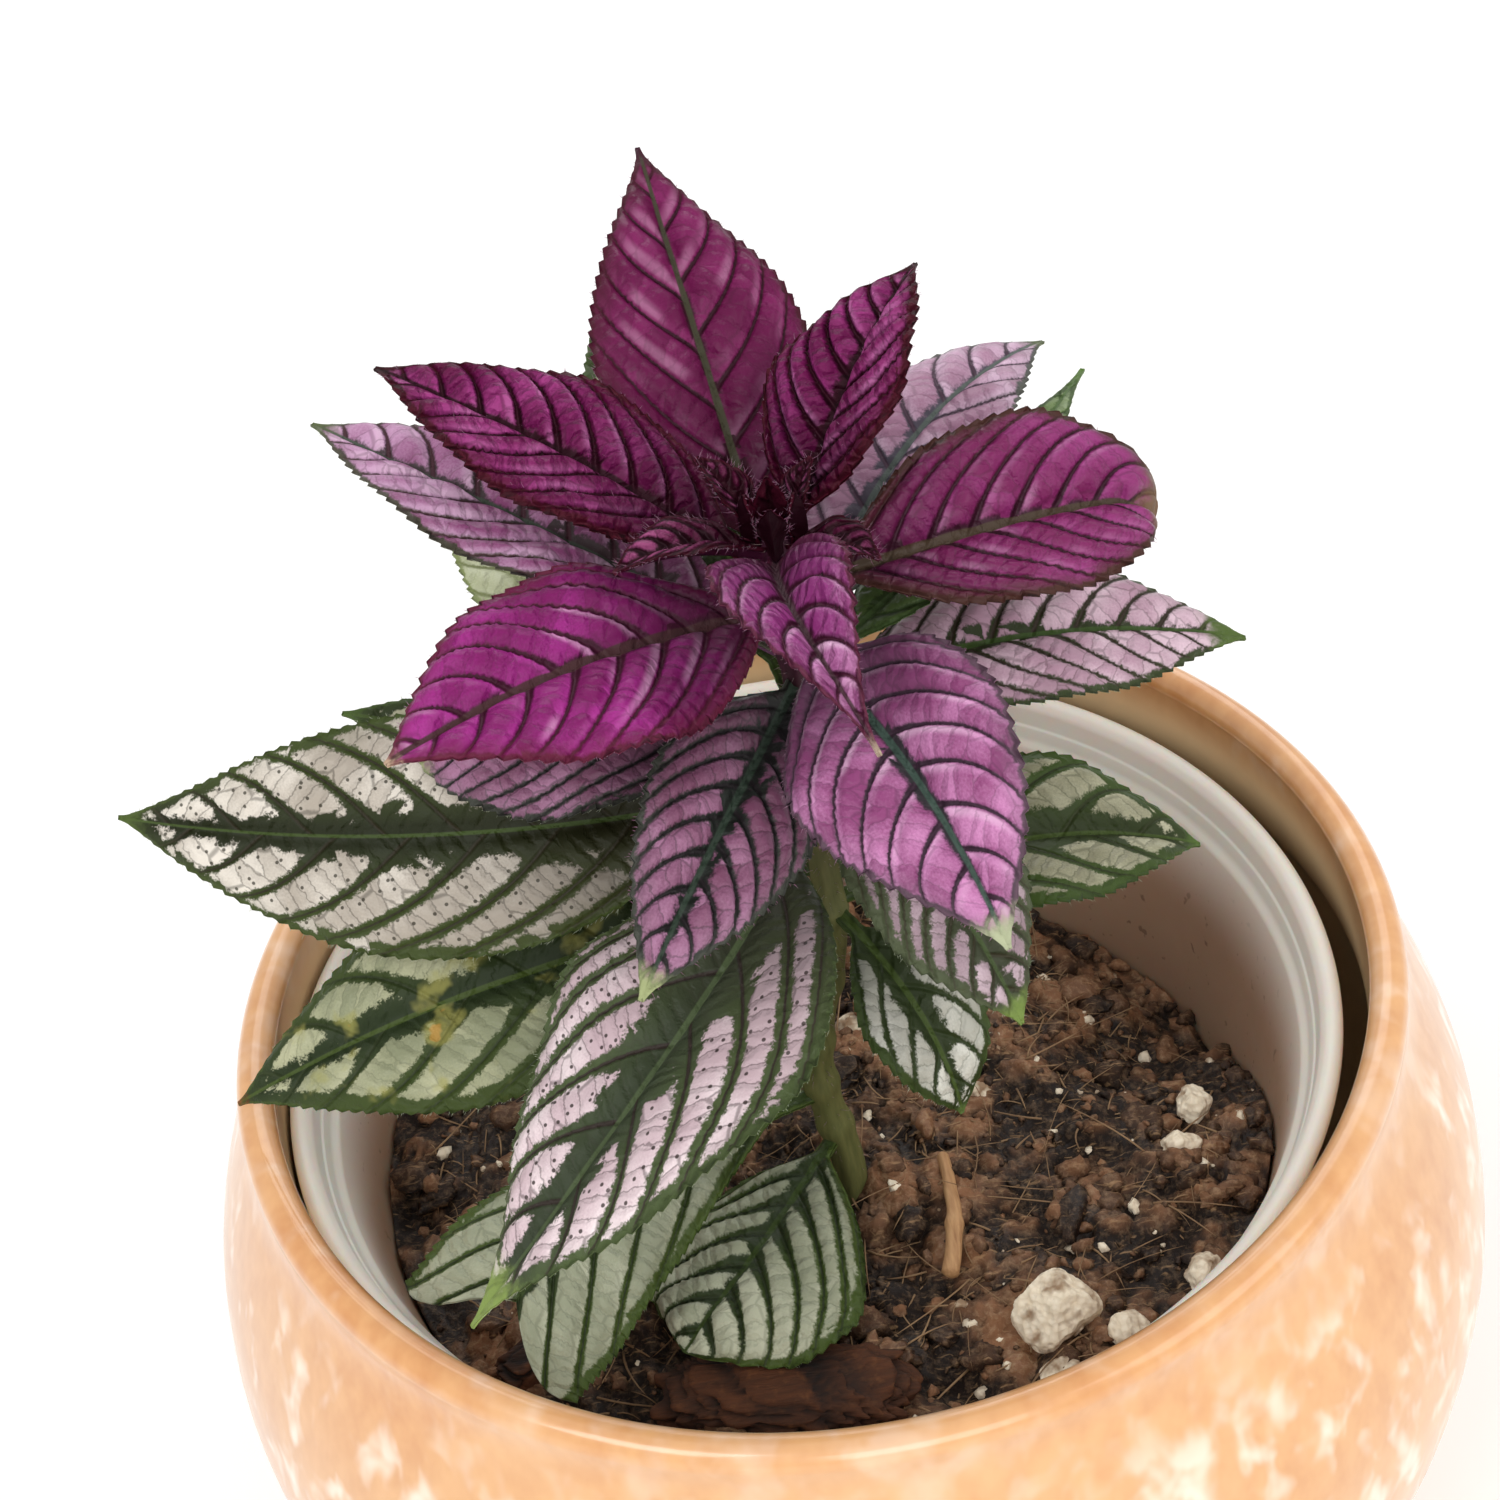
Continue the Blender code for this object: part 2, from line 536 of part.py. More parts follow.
if __name__ == "__main__":
    main()
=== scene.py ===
"""Looks of the potted Persian shield: leaves, stem, soil, nursery pot and glazed planter.

Sizes are in millimetres and become metres where a mesh is written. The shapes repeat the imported
part's own formulas on finer grids, and add veins, teeth, quilting, hairs, crumbs and fibres.
"""
import logging
import math
from dataclasses import dataclass, field
from enum import Enum

import bpy
import numpy as np
from mathutils import Matrix, Vector


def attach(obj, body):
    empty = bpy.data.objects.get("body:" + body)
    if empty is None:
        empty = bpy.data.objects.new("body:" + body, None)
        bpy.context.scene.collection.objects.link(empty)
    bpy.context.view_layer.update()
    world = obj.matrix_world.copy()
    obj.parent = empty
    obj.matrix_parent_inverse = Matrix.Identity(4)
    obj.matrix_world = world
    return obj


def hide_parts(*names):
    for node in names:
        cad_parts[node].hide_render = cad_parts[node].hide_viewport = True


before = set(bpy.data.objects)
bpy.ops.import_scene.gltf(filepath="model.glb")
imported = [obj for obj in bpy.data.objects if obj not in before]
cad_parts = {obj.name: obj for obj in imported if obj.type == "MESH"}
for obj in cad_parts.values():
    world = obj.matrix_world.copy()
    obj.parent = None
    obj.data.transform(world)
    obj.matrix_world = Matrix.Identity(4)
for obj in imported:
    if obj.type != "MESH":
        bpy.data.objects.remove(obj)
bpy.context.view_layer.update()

MM = 0.001
BODY = "root"
LOG = logging.getLogger("persian_shield")
# Settings for a Map Range node with an S-shaped ramp, and for a Mix node that mixes colours
SMOOTH = {"interpolation_type": "SMOOTHSTEP"}
COLOUR = {"data_type": "RGBA", "out": 2}
# Settings for a Math node
PLUS, MINUS, TIMES = ({"operation": word} for word in ("ADD", "SUBTRACT", "MULTIPLY"))


# Colour, nodes and meshes


def linear(code: str) -> tuple[float, float, float, float]:
    """Turn an sRGB hex colour into linear light.

    Args:
        code: six hex digits with a leading #.

    Returns:
        Red, green, blue and an alpha of 1. Each channel c becomes c/12.92 where it is dark and
        ((c + 0.055)/1.055) to the power 2.4 elsewhere.
    """
    channels = [int(code[i:i + 2], 16) / 255 for i in (1, 3, 5)]
    return (*(c / 12.92 if c <= 0.04045 else ((c + 0.055) / 1.055) ** 2.4 for c in channels), 1.0)


def cells(size: float) -> float:
    """Pattern scale in cells a metre, for features that are this many mm across."""
    return 1 / (size * MM)


class Finish:
    """A material's node tree: a Principled shader and one way to add nodes before it.

    Each finish below builds its tree as it is made, and its material is then read from it. last
    is the node that was added last, for those of its outputs that add did not give back.
    """

    def __init__(self, name: str, **constants: object) -> None:
        """Start a material.

        Args:
            name: the real material's name.
            constants: shader sockets by name, with _ for a space, set to one value all over.
        """
        self.material = bpy.data.materials.new(name)
        self.material.use_nodes = True
        self.tree = self.material.node_tree
        self.shader = self.last = self.tree.nodes["Principled BSDF"]
        for socket, value in constants.items():
            self.shader.inputs[socket.replace("_", " ")].default_value = value

    def add(self, kind: str, inputs: dict | tuple = (), out: int | str = 0,
            **settings: object) -> bpy.types.NodeSocket:
        """Add one node with its settings and links.

        Args:
            kind: the node's type without its ShaderNode prefix.
            inputs: values or other nodes' outputs, by socket name or number, or in order.
            out: which of its outputs to give back.
            settings: the node's own options.

        Returns:
            The chosen output socket.
        """
        node = self.last = self.tree.nodes.new("ShaderNode" + kind)
        for name, value in settings.items():
            setattr(node, name, value)
        pairs = inputs.items() if isinstance(inputs, dict) else enumerate(inputs)
        for key, value in pairs:
            if isinstance(value, bpy.types.NodeSocket):
                self.tree.links.new(value, node.inputs[key])
            elif value is not None:
                node.inputs[key].default_value = value
        return node.outputs[out]

    def wear(self, **links: bpy.types.NodeSocket) -> None:
        """Link outputs to the shader's sockets.

        Args:
            links: the output that feeds each socket, by its name with _ for a space.
        """
        for socket, value in links.items():
            self.tree.links.new(value, self.shader.inputs[socket.replace("_", " ")])


def quad_grid(rows: int, columns: int, closed: bool = False) -> np.ndarray:
    """Corner numbers of the quads between the points of a grid.

    Args:
        rows: points along the first direction.
        columns: points along the second direction.
        closed: whether the last column joins the first.

    Returns:
        An array of four corner numbers a quad, counted row by row.
    """
    i, j = np.meshgrid(np.arange(rows - 1), np.arange(columns - (not closed)), indexing="ij")
    k = (j + 1) % columns
    return np.stack([i * columns + j, (i + 1) * columns + j, (i + 1) * columns + k,
                     i * columns + k], axis=-1).reshape(-1, 4)


def fan(ring: np.ndarray, tip: int) -> np.ndarray:
    """Triangles that close a ring of point numbers with one more point."""
    return np.stack([np.full(len(ring), tip), ring, np.roll(ring, -1)], 1)


def turned(points: np.ndarray, angle: np.ndarray | float, a: int, b: int) -> np.ndarray:
    """Turn points in the plane of two of their coordinates.

    Args:
        points: coordinates along the last axis.
        angle: how far, in radians from a towards b.
        a: the first coordinate's number.
        b: the second coordinate's number.

    Returns:
        The points, with a cos - b sin and a sin + b cos in place of a and b.
    """
    out = points.copy()
    c, s = np.cos(angle), np.sin(angle)
    out[..., a] = points[..., a] * c - points[..., b] * s
    out[..., b] = points[..., a] * s + points[..., b] * c
    return out


def make_piece(name: str, places: np.ndarray, faces: list[np.ndarray],
               finishes: list[bpy.types.Material], wears: np.ndarray | None = None,
               smooth: bool = True) -> bpy.types.Object:
    """Write points and faces into a mesh object at the origin.

    Args:
        name: the object's name.
        places: one row of x, y, z in millimetres a point.
        faces: arrays of corner numbers, each with three or four columns.
        finishes: the materials, in slot order.
        wears: the slot number of each face, or None for the first.
        smooth: whether the faces are shaded smooth.

    Returns:
        The new object.
    """
    mesh = bpy.data.meshes.new(name)
    corners = np.concatenate([f.ravel() for f in faces]).astype(np.int32)
    totals = np.concatenate([np.full(len(f), f.shape[1]) for f in faces])
    starts = np.concatenate([[0], np.cumsum(totals)[:-1]]).astype(np.int32)
    mesh.vertices.add(len(places))
    mesh.vertices.foreach_set("co", (places * MM).astype(np.float32).ravel())
    mesh.loops.add(len(corners))
    mesh.loops.foreach_set("vertex_index", corners)
    mesh.polygons.add(len(starts))
    mesh.polygons.foreach_set("loop_start", starts)
    if wears is not None:
        mesh.polygons.foreach_set("material_index", wears.astype(np.int32))
    mesh.polygons.foreach_set("use_smooth", np.full(len(starts), smooth))
    mesh.update(calc_edges=True)
    for finish in finishes:
        mesh.materials.append(finish)
    made = bpy.data.objects.new(name, mesh)
    bpy.context.scene.collection.objects.link(made)
    return made


def store(piece: bpy.types.Object, name: str, values: np.ndarray) -> None:
    """Store one number a point under a name, for the piece's finish to read."""
    attribute = piece.data.attributes.new(name, "FLOAT", "POINT")
    attribute.data.foreach_set("value", values.astype(np.float32).ravel())


def settle(piece: bpy.types.Object, slot: str, *nodes: str) -> bpy.types.Object:
    """Ride a piece on the part's one body, and hide the CAD nodes that it stands for.

    Args:
        piece: the finished object.
        slot: not used.
        nodes: the CAD nodes that it replaces.

    Returns:
        The same object.
    """
    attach(piece, BODY)
    if nodes:
        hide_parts(*nodes)
    LOG.info("%s: %d faces, replaces %s", piece.name, len(piece.data.polygons), nodes or "nothing")
    return piece


# Shapes


def lattice(corners: np.ndarray, seed: int) -> np.ndarray:
    """Random numbers from 0 to 1 for whole-number cells, the same each time.

    Args:
        corners: whole numbers, one row of coordinates a cell.
        seed: which set of random numbers.

    Returns:
        One number a cell: the fraction of a large sine of the weighted coordinates.
    """
    weights = np.array([127.1, 311.7, 74.7])[:corners.shape[-1]]
    wave = np.sin(corners @ weights + seed * 17.13) * 43758.5453
    return wave - np.floor(wave)


def noise(places: np.ndarray, seed: int, octaves: int = 1) -> np.ndarray:
    """Smooth random field: lattice numbers blended by 3t^2 - 2t^3, halved at each finer octave.

    Args:
        places: coordinates in cells, one row a point, two or three columns.
        seed: which field.
        octaves: how many layers, each twice as fine as the last.

    Returns:
        Values from about -1 to 1.
    """
    total, weight = np.zeros(len(places)), 0.0
    for octave in range(octaves):
        scaled = places * 2.0 ** octave + 5.7 * octave
        base = np.floor(scaled)
        blend = scaled - base
        blend = blend * blend * (3 - 2 * blend)
        value = np.zeros(len(places))
        for corner in np.ndindex(*(2,) * places.shape[1]):
            step = np.array(corner)
            share = np.prod(np.where(step, blend, 1 - blend), axis=1)
            value += share * lattice(base + step, seed + octave)
        total += (2 * value - 1) * 0.5 ** octave
        weight += 0.5 ** octave
    return total / weight


def domes(places: np.ndarray, seed: int) -> np.ndarray:
    """Heap of round crumbs: the highest of the domes that stand in the nearest nine cells.

    Args:
        places: x and y in cells, one row a point.
        seed: which heap.

    Returns:
        Height in cells: a random top less 1.1 times the squared distance to the dome's middle.
    """
    base = np.floor(places)
    high = np.full(len(places), -9.0)
    for step in np.ndindex(3, 3):
        cell = base + np.array(step) - 1
        shift = np.stack([lattice(cell, seed), lattice(cell, seed + 1)], 1) - 0.5
        middle = cell + 0.5 + 0.8 * shift
        top = 0.7 * lattice(cell, seed + 2)
        high = np.maximum(high, top - ((places - middle) ** 2).sum(1) * 1.1)
    return high


def soften(points: list[tuple[float, float]], cut: float, steps: int) -> np.ndarray:
    """Round a profile's corners.

    Args:
        points: radius and height along the profile.
        cut: how far from a corner the rounding starts, at most 0.48 of the shorter side.
        steps: points on each rounded corner.

    Returns:
        The profile with each corner replaced by the curve (1-t)^2 a + 2t(1-t) corner + t^2 b.
    """
    line = np.array(points, float)
    out = [line[:1]]
    t = np.linspace(0, 1, steps)[:, None]
    for before, corner, after in zip(line, line[1:], line[2:]):
        back, ahead = before - corner, after - corner
        near = min(cut, 0.48 * np.linalg.norm(back), 0.48 * np.linalg.norm(ahead))
        a = corner + back / np.linalg.norm(back) * near
        b = corner + ahead / np.linalg.norm(ahead) * near
        out.append((1 - t) ** 2 * a + 2 * t * (1 - t) * corner + t ** 2 * b)
    return np.concatenate(out + [line[-1:]])


def turn_profile(profile: np.ndarray, sides: int) -> tuple[np.ndarray, list[np.ndarray]]:
    """Turn a profile about the upright axis into a closed shell.

    Args:
        profile: radius and height, from a first to a last point that lie on the axis.
        sides: points round each ring.

    Returns:
        Points (r cos a, r sin a, z) with a pole at each end, and faces that point outwards for a
        profile that runs from the inside over the rim to the outside.
    """
    angle = np.linspace(0, 2 * math.pi, sides, endpoint=False)
    rings = profile[1:-1]
    ring = np.stack([rings[:, :1] * np.cos(angle), rings[:, :1] * np.sin(angle),
                     np.repeat(rings[:, 1:], sides, axis=1)], axis=-1).reshape(-1, 3)
    places = np.concatenate([ring, [[0, 0, profile[0, 1]], [0, 0, profile[-1, 1]]]])
    here = np.arange(sides)
    caps = [fan(here, len(ring)), fan((len(rings) - 1) * sides + here, len(ring) + 1)[:, ::-1]]
    return places, [quad_grid(len(rings), sides, closed=True), np.concatenate(caps)]


def sweep_tube(line: np.ndarray, radii: np.ndarray, sides: int
               ) -> tuple[np.ndarray, list[np.ndarray]]:
    """Carry a round profile along a path, with closed ends.

    Args:
        line: the path's points.
        radii: one radius a point, or one row of radii a point for an uneven tube.
        sides: points round the tube.

    Returns:
        Points and faces. Each ring stands square to the path, turned as little as possible.
    """
    ahead = np.gradient(line, axis=0)
    ahead /= np.linalg.norm(ahead, axis=1, keepdims=True)
    helper = np.where(np.abs(ahead[:1] @ np.array([1.0, 0, 0])) < 0.9, [[1.0, 0, 0]], [[0, 1.0, 0]])
    across = np.cross(ahead, helper)
    across /= np.linalg.norm(across, axis=1, keepdims=True)
    up = np.cross(across, ahead)
    angle = np.linspace(0, 2 * math.pi, sides, endpoint=False)
    radii = np.asarray(radii, float).reshape(len(line), -1)
    spokes = across[:, None] * np.cos(angle)[:, None] + up[:, None] * np.sin(angle)[:, None]
    places = (line[:, None] + spokes * radii[..., None]).reshape(-1, 3)
    places = np.concatenate([places, line[:1], line[-1:]])
    here = np.arange(sides)
    end = (len(line) - 1) * sides + here
    caps = [fan(here, len(places) - 2), fan(end, len(places) - 1)[:, ::-1]]
    return places, [quad_grid(len(line), sides, closed=True), np.concatenate(caps)]


def strands(roots: np.ndarray, ahead: np.ndarray, bend: np.ndarray, lengths: np.ndarray,
            radii: np.ndarray, segments: int = 2, sides: int = 3, blunt: float = 0.0
            ) -> tuple[np.ndarray, list[np.ndarray]]:
    """Many fine closed hairs or fibres at once.

    Args:
        roots: where each starts.
        ahead: the unit direction in which each starts.
        bend: how far each tip is pulled aside, as a share of its length.
        lengths: the length of each.
        radii: the radius of each at its root.
        segments: rings after the root.
        sides: points round a ring.
        blunt: the tip's radius as a share of the root's.

    Returns:
        Points root + length (t ahead + t^2 bend), with radius falling from 1 to blunt, and faces.
    """
    count = len(roots)
    helper = np.where(np.abs(ahead[:, 2:]) < 0.9, [[0, 0, 1.0]], [[1.0, 0, 0]])
    across = np.cross(ahead, helper)
    across /= np.linalg.norm(across, axis=1, keepdims=True)
    up = np.cross(ahead, across)
    t = np.linspace(0, 1, segments + 1)
    middle = roots[:, None] + lengths[:, None, None] * (t[:, None] * ahead[:, None]
                                                         + t[:, None] ** 2 * bend[:, None])
    angle = np.linspace(0, 2 * math.pi, sides, endpoint=False)
    spokes = across[:, None] * np.cos(angle)[:, None] + up[:, None] * np.sin(angle)[:, None]
    size = radii[:, None] * (1 - (1 - blunt) * t[:-1] ** 1.3)
    rings = middle[:, :-1, None] + spokes[:, None] * size[..., None, None]
    places = np.concatenate([rings.reshape(count, -1, 3), middle[:, -1:], middle[:, :1]], axis=1)
    per = segments * sides + 2
    here = np.arange(sides)
    caps = [fan((segments - 1) * sides + here, per - 2)[:, ::-1], fan(here, per - 1)]
    shapes = [quad_grid(segments, sides, closed=True), np.concatenate(caps)]
    return places.reshape(-1, 3), repeat(shapes, count, per)


def repeat(shapes: list[np.ndarray], count: int, per: int) -> list[np.ndarray]:
    """Copy the faces of one shape for many shapes in one mesh.

    Args:
        shapes: arrays of corner numbers of one shape.
        count: how many shapes there are.
        per: points in each.

    Returns:
        The same arrays with the rows of every shape.
    """
    step = (np.arange(count) * per)[:, None, None]
    return [(faces + step).reshape(-1, faces.shape[1]) for faces in shapes]


def ball(rows: int, sides: int) -> tuple[np.ndarray, list[np.ndarray]]:
    """Unit ball with its poles on the X axis, as a closed grid.

    Args:
        rows: rings between the poles.
        sides: points round each ring.

    Returns:
        Points (cos b, sin b cos a, sin b sin a) and outward faces.
    """
    b = np.linspace(0, math.pi, rows + 2)
    profile = np.stack([np.sin(b), np.cos(b)], 1)
    profile[[0, -1], 0] = 0
    places, faces = turn_profile(profile[::-1], sides)
    return places[:, [2, 0, 1]], [f[:, ::-1] for f in faces]


# The plant's finishes


@dataclass(frozen=True)
class LeafFinish:
    """Living leaf skin of one age: waxy green tissue under a silvery or purple sheen.

    The eye sees raised coloured panels between sunken dark side veins, a dark zone by the midrib,
    a toothed margin of another colour, and a netting of fine cross veins.

    In mm, band is the half width of a side vein's dark wedge, zone_width and margin_width are the
    reach of the dark zone and of the margin, ragged and blocks how far the panels' borders stray
    evenly and cell by cell, cell the size of a cell between cross veins, and pucker the relief.
    netting, dots, gleam, base_shade, rim_shade, spots and shine are strengths from 0 to 1, and
    the tip's colour starts at the share tip_from of the blade. gleam and shine are painted
    highlights on the panels; base_shade and rim_shade darken the stem end and the rim, partly the
    leaf's own deeper tint there and partly painted shade.
    """

    name: str
    panel: str
    bright: str
    zone: str
    vein: str
    midrib: str
    margin: str
    tip: str
    under: str
    band: float = 0.35
    zone_width: float = 0.5
    margin_width: float = 0.35
    ragged: float = 0.3
    netting: float = 0.4
    dots: float = 0.0
    tip_from: float = 0.93
    gleam: float = 0.35
    base_shade: float = 0.25
    rim_shade: float = 0.2
    midrib_width: float = 0.8
    spots: float = 0.0
    roughness: float = 0.38
    gloss: float = 0.22
    blocks: float = 0.5
    cell: float = 1.5
    pucker: float = 0.16
    shine: float = 0.0
    sparkle: str = "#EAC8DE"


class LeafSkin(Finish):
    """The upper skin of one age of leaf, from the measures that are stored with its mesh.

    Over a dark ground lie the coloured panels, then the veins, then the shades towards the stem
    and along the rim, partly the leaf's own tint and partly painted shade, then the margin and
    the tip.
    """

    def __init__(self, look: LeafFinish) -> None:
        """Read the leaf's measures, lay three sizes of blotch over it, and paint.

        Args:
            look: the colours and widths of this age.
        """
        super().__init__(f"{look.name} leaf skin", Specular_IOR_Level=look.gloss)
        self.look = look
        self.vein, self.margin = linear(look.vein), linear(look.margin)
        self.add("SeparateXYZ", (self.add("UVMap", uv_map="veins"),))
        self.phase, side = self.last.outputs[0], self.last.outputs[1]
        self.blade = self.add("UVMap", uv_map="blade")
        self.add("SeparateXYZ", (self.blade,))
        self.along = self.last.outputs[0]
        self.mid = self.add("Math", (self.last.outputs[1],), operation="ABSOLUTE")
        self.w = self.add("Math", (side,), operation="ABSOLUTE")
        self.add("SeparateXYZ", (self.add("Attribute", out=1, attribute_name="leaf"),))
        self.gap, self.share, self.edge = (self.last.outputs[k] for k in range(3))

        # The blade map is in mm, so these scales count blots a millimetre
        spread = {"Vector": self.blade, "Roughness": 0.6}
        self.grain = self.add("TexNoise", {**spread, "Scale": 1.1, "Detail": 3.0})
        self.fine = self.add("TexNoise", {**spread, "Scale": 4.5, "Detail": 2.0})
        self.broad = self.add("TexNoise", {"Vector": self.blade, "Scale": 0.16, "Detail": 1.0})
        ragged = look.ragged
        coarse_part = self.add("MapRange", (self.grain, 0, 1, -1.2 * ragged, 1.2 * ragged))
        fine_part = self.add("MapRange", (self.fine, 0, 1, -0.7 * ragged, 0.7 * ragged))
        self.uneven = self.add("Math", (coarse_part, fine_part), **PLUS)
        self.lay_cross_veins()
        self.paint()

    def lay_cross_veins(self) -> None:
        """Divide each strip between side veins into cells along the vein's way, with two random
        numbers a cell, and scatter dark pores. Pores fainter than 0.35 don't show."""
        down = self.add("Math", (self.along, 0.77), **TIMES)
        down = self.add("Math", (self.mid, 0.64, down), operation="MULTIPLY_ADD")
        warp = self.add("MapRange", (self.grain, 0, 1, -0.3, 0.3))
        ladder = self.add("CombineXYZ", (
            self.add("Math", (down, 1 / self.look.cell, warp), operation="MULTIPLY_ADD"),
            self.add("Math", (self.phase, 0.15), **MINUS)))
        net = {"Vector": ladder, "Scale": 1.0, "Randomness": 0.8}
        self.rim = self.add("TexVoronoi", net, feature="DISTANCE_TO_EDGE", voronoi_dimensions="2D")
        self.net = self.add("MapRange", (self.rim, 0.015, 0.08, self.look.netting, 0.0), **SMOOTH)
        self.add("TexVoronoi", net, feature="F1", voronoi_dimensions="2D")
        self.add("SeparateColor", (self.last.outputs["Color"],))
        self.pick, self.draw = self.last.outputs[0], self.last.outputs[1]
        pores = self.add("TexVoronoi", {"Vector": self.blade, "Scale": 0.62, "Randomness": 0.9},
                         voronoi_dimensions="2D")
        pore = self.add("MapRange", (pores, 0.08, 0.15, self.look.dots, 0.0), **SMOOTH)
        crisp = self.add("MapRange", (pore, 0.35, 0.4), **SMOOTH)
        self.dot = self.add("Math", (pore, crisp), **TIMES)

    def panels(self) -> bpy.types.NodeSocket:
        """Where the coloured panels lie.

        Returns:
            A mask that is 1 away from the side veins, whose dark wedge narrows towards the
            margin, and between the ragged borders of the dark middle zone and the green margin.
        """
        look = self.look
        away = self.add("Math", (self.phase, 0.5), operation="PINGPONG")
        self.away = self.add("Math", (away, self.gap), **TIMES)
        wedge = self.add("MapRange", (self.w, 0.0, 0.45, 2.1 * look.band, 0.75 * look.band),
                         **SMOOTH)
        slimmer = self.add("MapRange", (self.share, 0.5, 1.0, 1.0, 0.5))
        wedge = self.add("Math", (wedge, slimmer), **TIMES)
        clear = self.add("Math", (self.away, self.uneven), **PLUS)
        clear = self.add("Math", (clear, wedge), **MINUS)
        clear = self.add("MapRange", (clear, -0.12, 0.2), **SMOOTH)
        width, blocks, green = look.zone_width, look.blocks, look.margin_width
        zone = self.add("MapRange", (self.share, 0.1, 0.95, 1.25 * width, 0.1 * width))
        stray = self.add("MapRange", (self.share, 0.3, 0.85, blocks, 0.2 * blocks))
        inner = self.add("Math", (self.uneven, 1.6, self.mid), operation="MULTIPLY_ADD")
        picked = self.add("MapRange", (self.pick, 0, 1, -1, 1))
        inner = self.add("Math", (picked, stray, inner), operation="MULTIPLY_ADD")
        inner = self.add("Math", (inner, zone), **MINUS)
        inner = self.add("MapRange", (inner, -0.15, 0.3), **SMOOTH)
        nibble = self.add("MapRange", (self.draw, 0, 1, -0.4 * blocks, 0.4 * blocks))
        outer = self.add("Math", (self.edge, self.uneven), **PLUS)
        outer = self.add("Math", (outer, nibble), **PLUS)
        outer = self.add("MapRange", (outer, green - 0.1, green + 0.25), **SMOOTH)
        panel = self.add("Math", (clear, inner), **TIMES)
        return self.add("Math", (panel, outer), **TIMES)

    def sheen(self) -> bpy.types.NodeSocket:
        """The panels' colour, with painted highlights.

        Returns:
            A colour that is lighter towards the tip and by a random step for each cell, with a
            painted highlight on the slope past a vein, and painted glints on the ages that shine.
        """
        look = self.look
        slope = self.add("Math", (self.phase,), operation="FRACT")
        # Painted highlight: the panel is lighter on the slope just past each vein
        tone_and_highlight = self.add("MapRange", (slope, 0.04, 0.45, look.gleam, 0.0), **SMOOTH)
        tone_and_highlight = self.add("Math", (self.broad, tone_and_highlight), **PLUS)
        for source, span in ((self.fine, (0, 1, -0.2, 0.2)), (self.share, (0.2, 1.0, -0.15, 0.35)),
                             (self.draw, (0, 1, -0.12, 0.12))):
            more = self.add("MapRange", (source, *span))
            tone_and_highlight = self.add("Math", (tone_and_highlight, more), **PLUS)
        tone_and_highlight = self.add("MapRange", (tone_and_highlight, 0.38, 1.05), **SMOOTH)
        skin = self.add("Mix", {0: tone_and_highlight, 6: linear(look.panel), 7: linear(look.bright)},
                        **COLOUR)
        # Painted glints: thin streaks of the sparkle colour on the slopes past the veins
        if look.shine:
            glint = self.add("MapRange", (slope, 0.06, 0.14), **SMOOTH)
            for source, span in ((slope, (0.18, 0.42, look.shine, 0.0)),
                                 (self.broad, (0.42, 0.6)), (self.w, (0.9, 0.5))):
                where = self.add("MapRange", (source, *span), **SMOOTH)
                glint = self.add("Math", (glint, where), **TIMES)
            skin = self.add("Mix", {0: glint, 6: skin, 7: linear(look.sparkle)}, **COLOUR)
        return skin

    def marked(self, panel: bpy.types.NodeSocket) -> bpy.types.NodeSocket:
        """The panels on their dark ground, with cross veins, pores and side veins over them.

        Args:
            panel: the panels' mask.

        Returns:
            The colour.
        """
        skin = self.sheen()
        outward = self.add("MapRange", (self.mid, 1.0, 6.0, 0.0, 0.8))
        ground = self.add("Mix", {0: outward, 6: linear(self.look.zone), 7: self.margin}, **COLOUR)
        colour = self.add("Mix", {0: panel, 6: ground, 7: skin}, **COLOUR)
        fade = self.add("MapRange", (panel, 0.2, 0.9, 0.3, 1.0))
        net = self.add("Math", (self.net, fade), **TIMES)
        dot = self.add("Math", (self.dot, panel), **TIMES)
        thick = self.add("MapRange", (self.w, 0.0, 0.8, 0.22, 0.1))
        line = self.add("Math", (self.away, thick), **MINUS)
        rough = self.add("MapRange", (self.fine, 0, 1, -0.06, 0.06))
        line = self.add("Math", (line, rough), **PLUS)
        line = self.add("MapRange", (line, -0.07, 0.07, 0.95, 0.0), **SMOOTH)
        for mask in (net, dot, line):
            colour = self.add("Mix", {0: mask, 6: colour, 7: self.vein}, **COLOUR)
        return colour

    def bordered(self, colour: bpy.types.NodeSocket) -> bpy.types.NodeSocket:
        """Deeper colour at the stem end and along the rim, partly the leaf's own tint and partly
        painted shade, then the midrib, margin and tip.

        Args:
            colour: the marked skin.

        Returns:
            The colour, with yellow and ochre blots on an age that has spots.
        """
        look = self.look
        # Partly painted shade: darker towards the stem end, over the leaf's own deeper tint there
        shade = self.add("MapRange", (self.share, 0.02, 0.5, look.base_shade, 0.0), **SMOOTH)
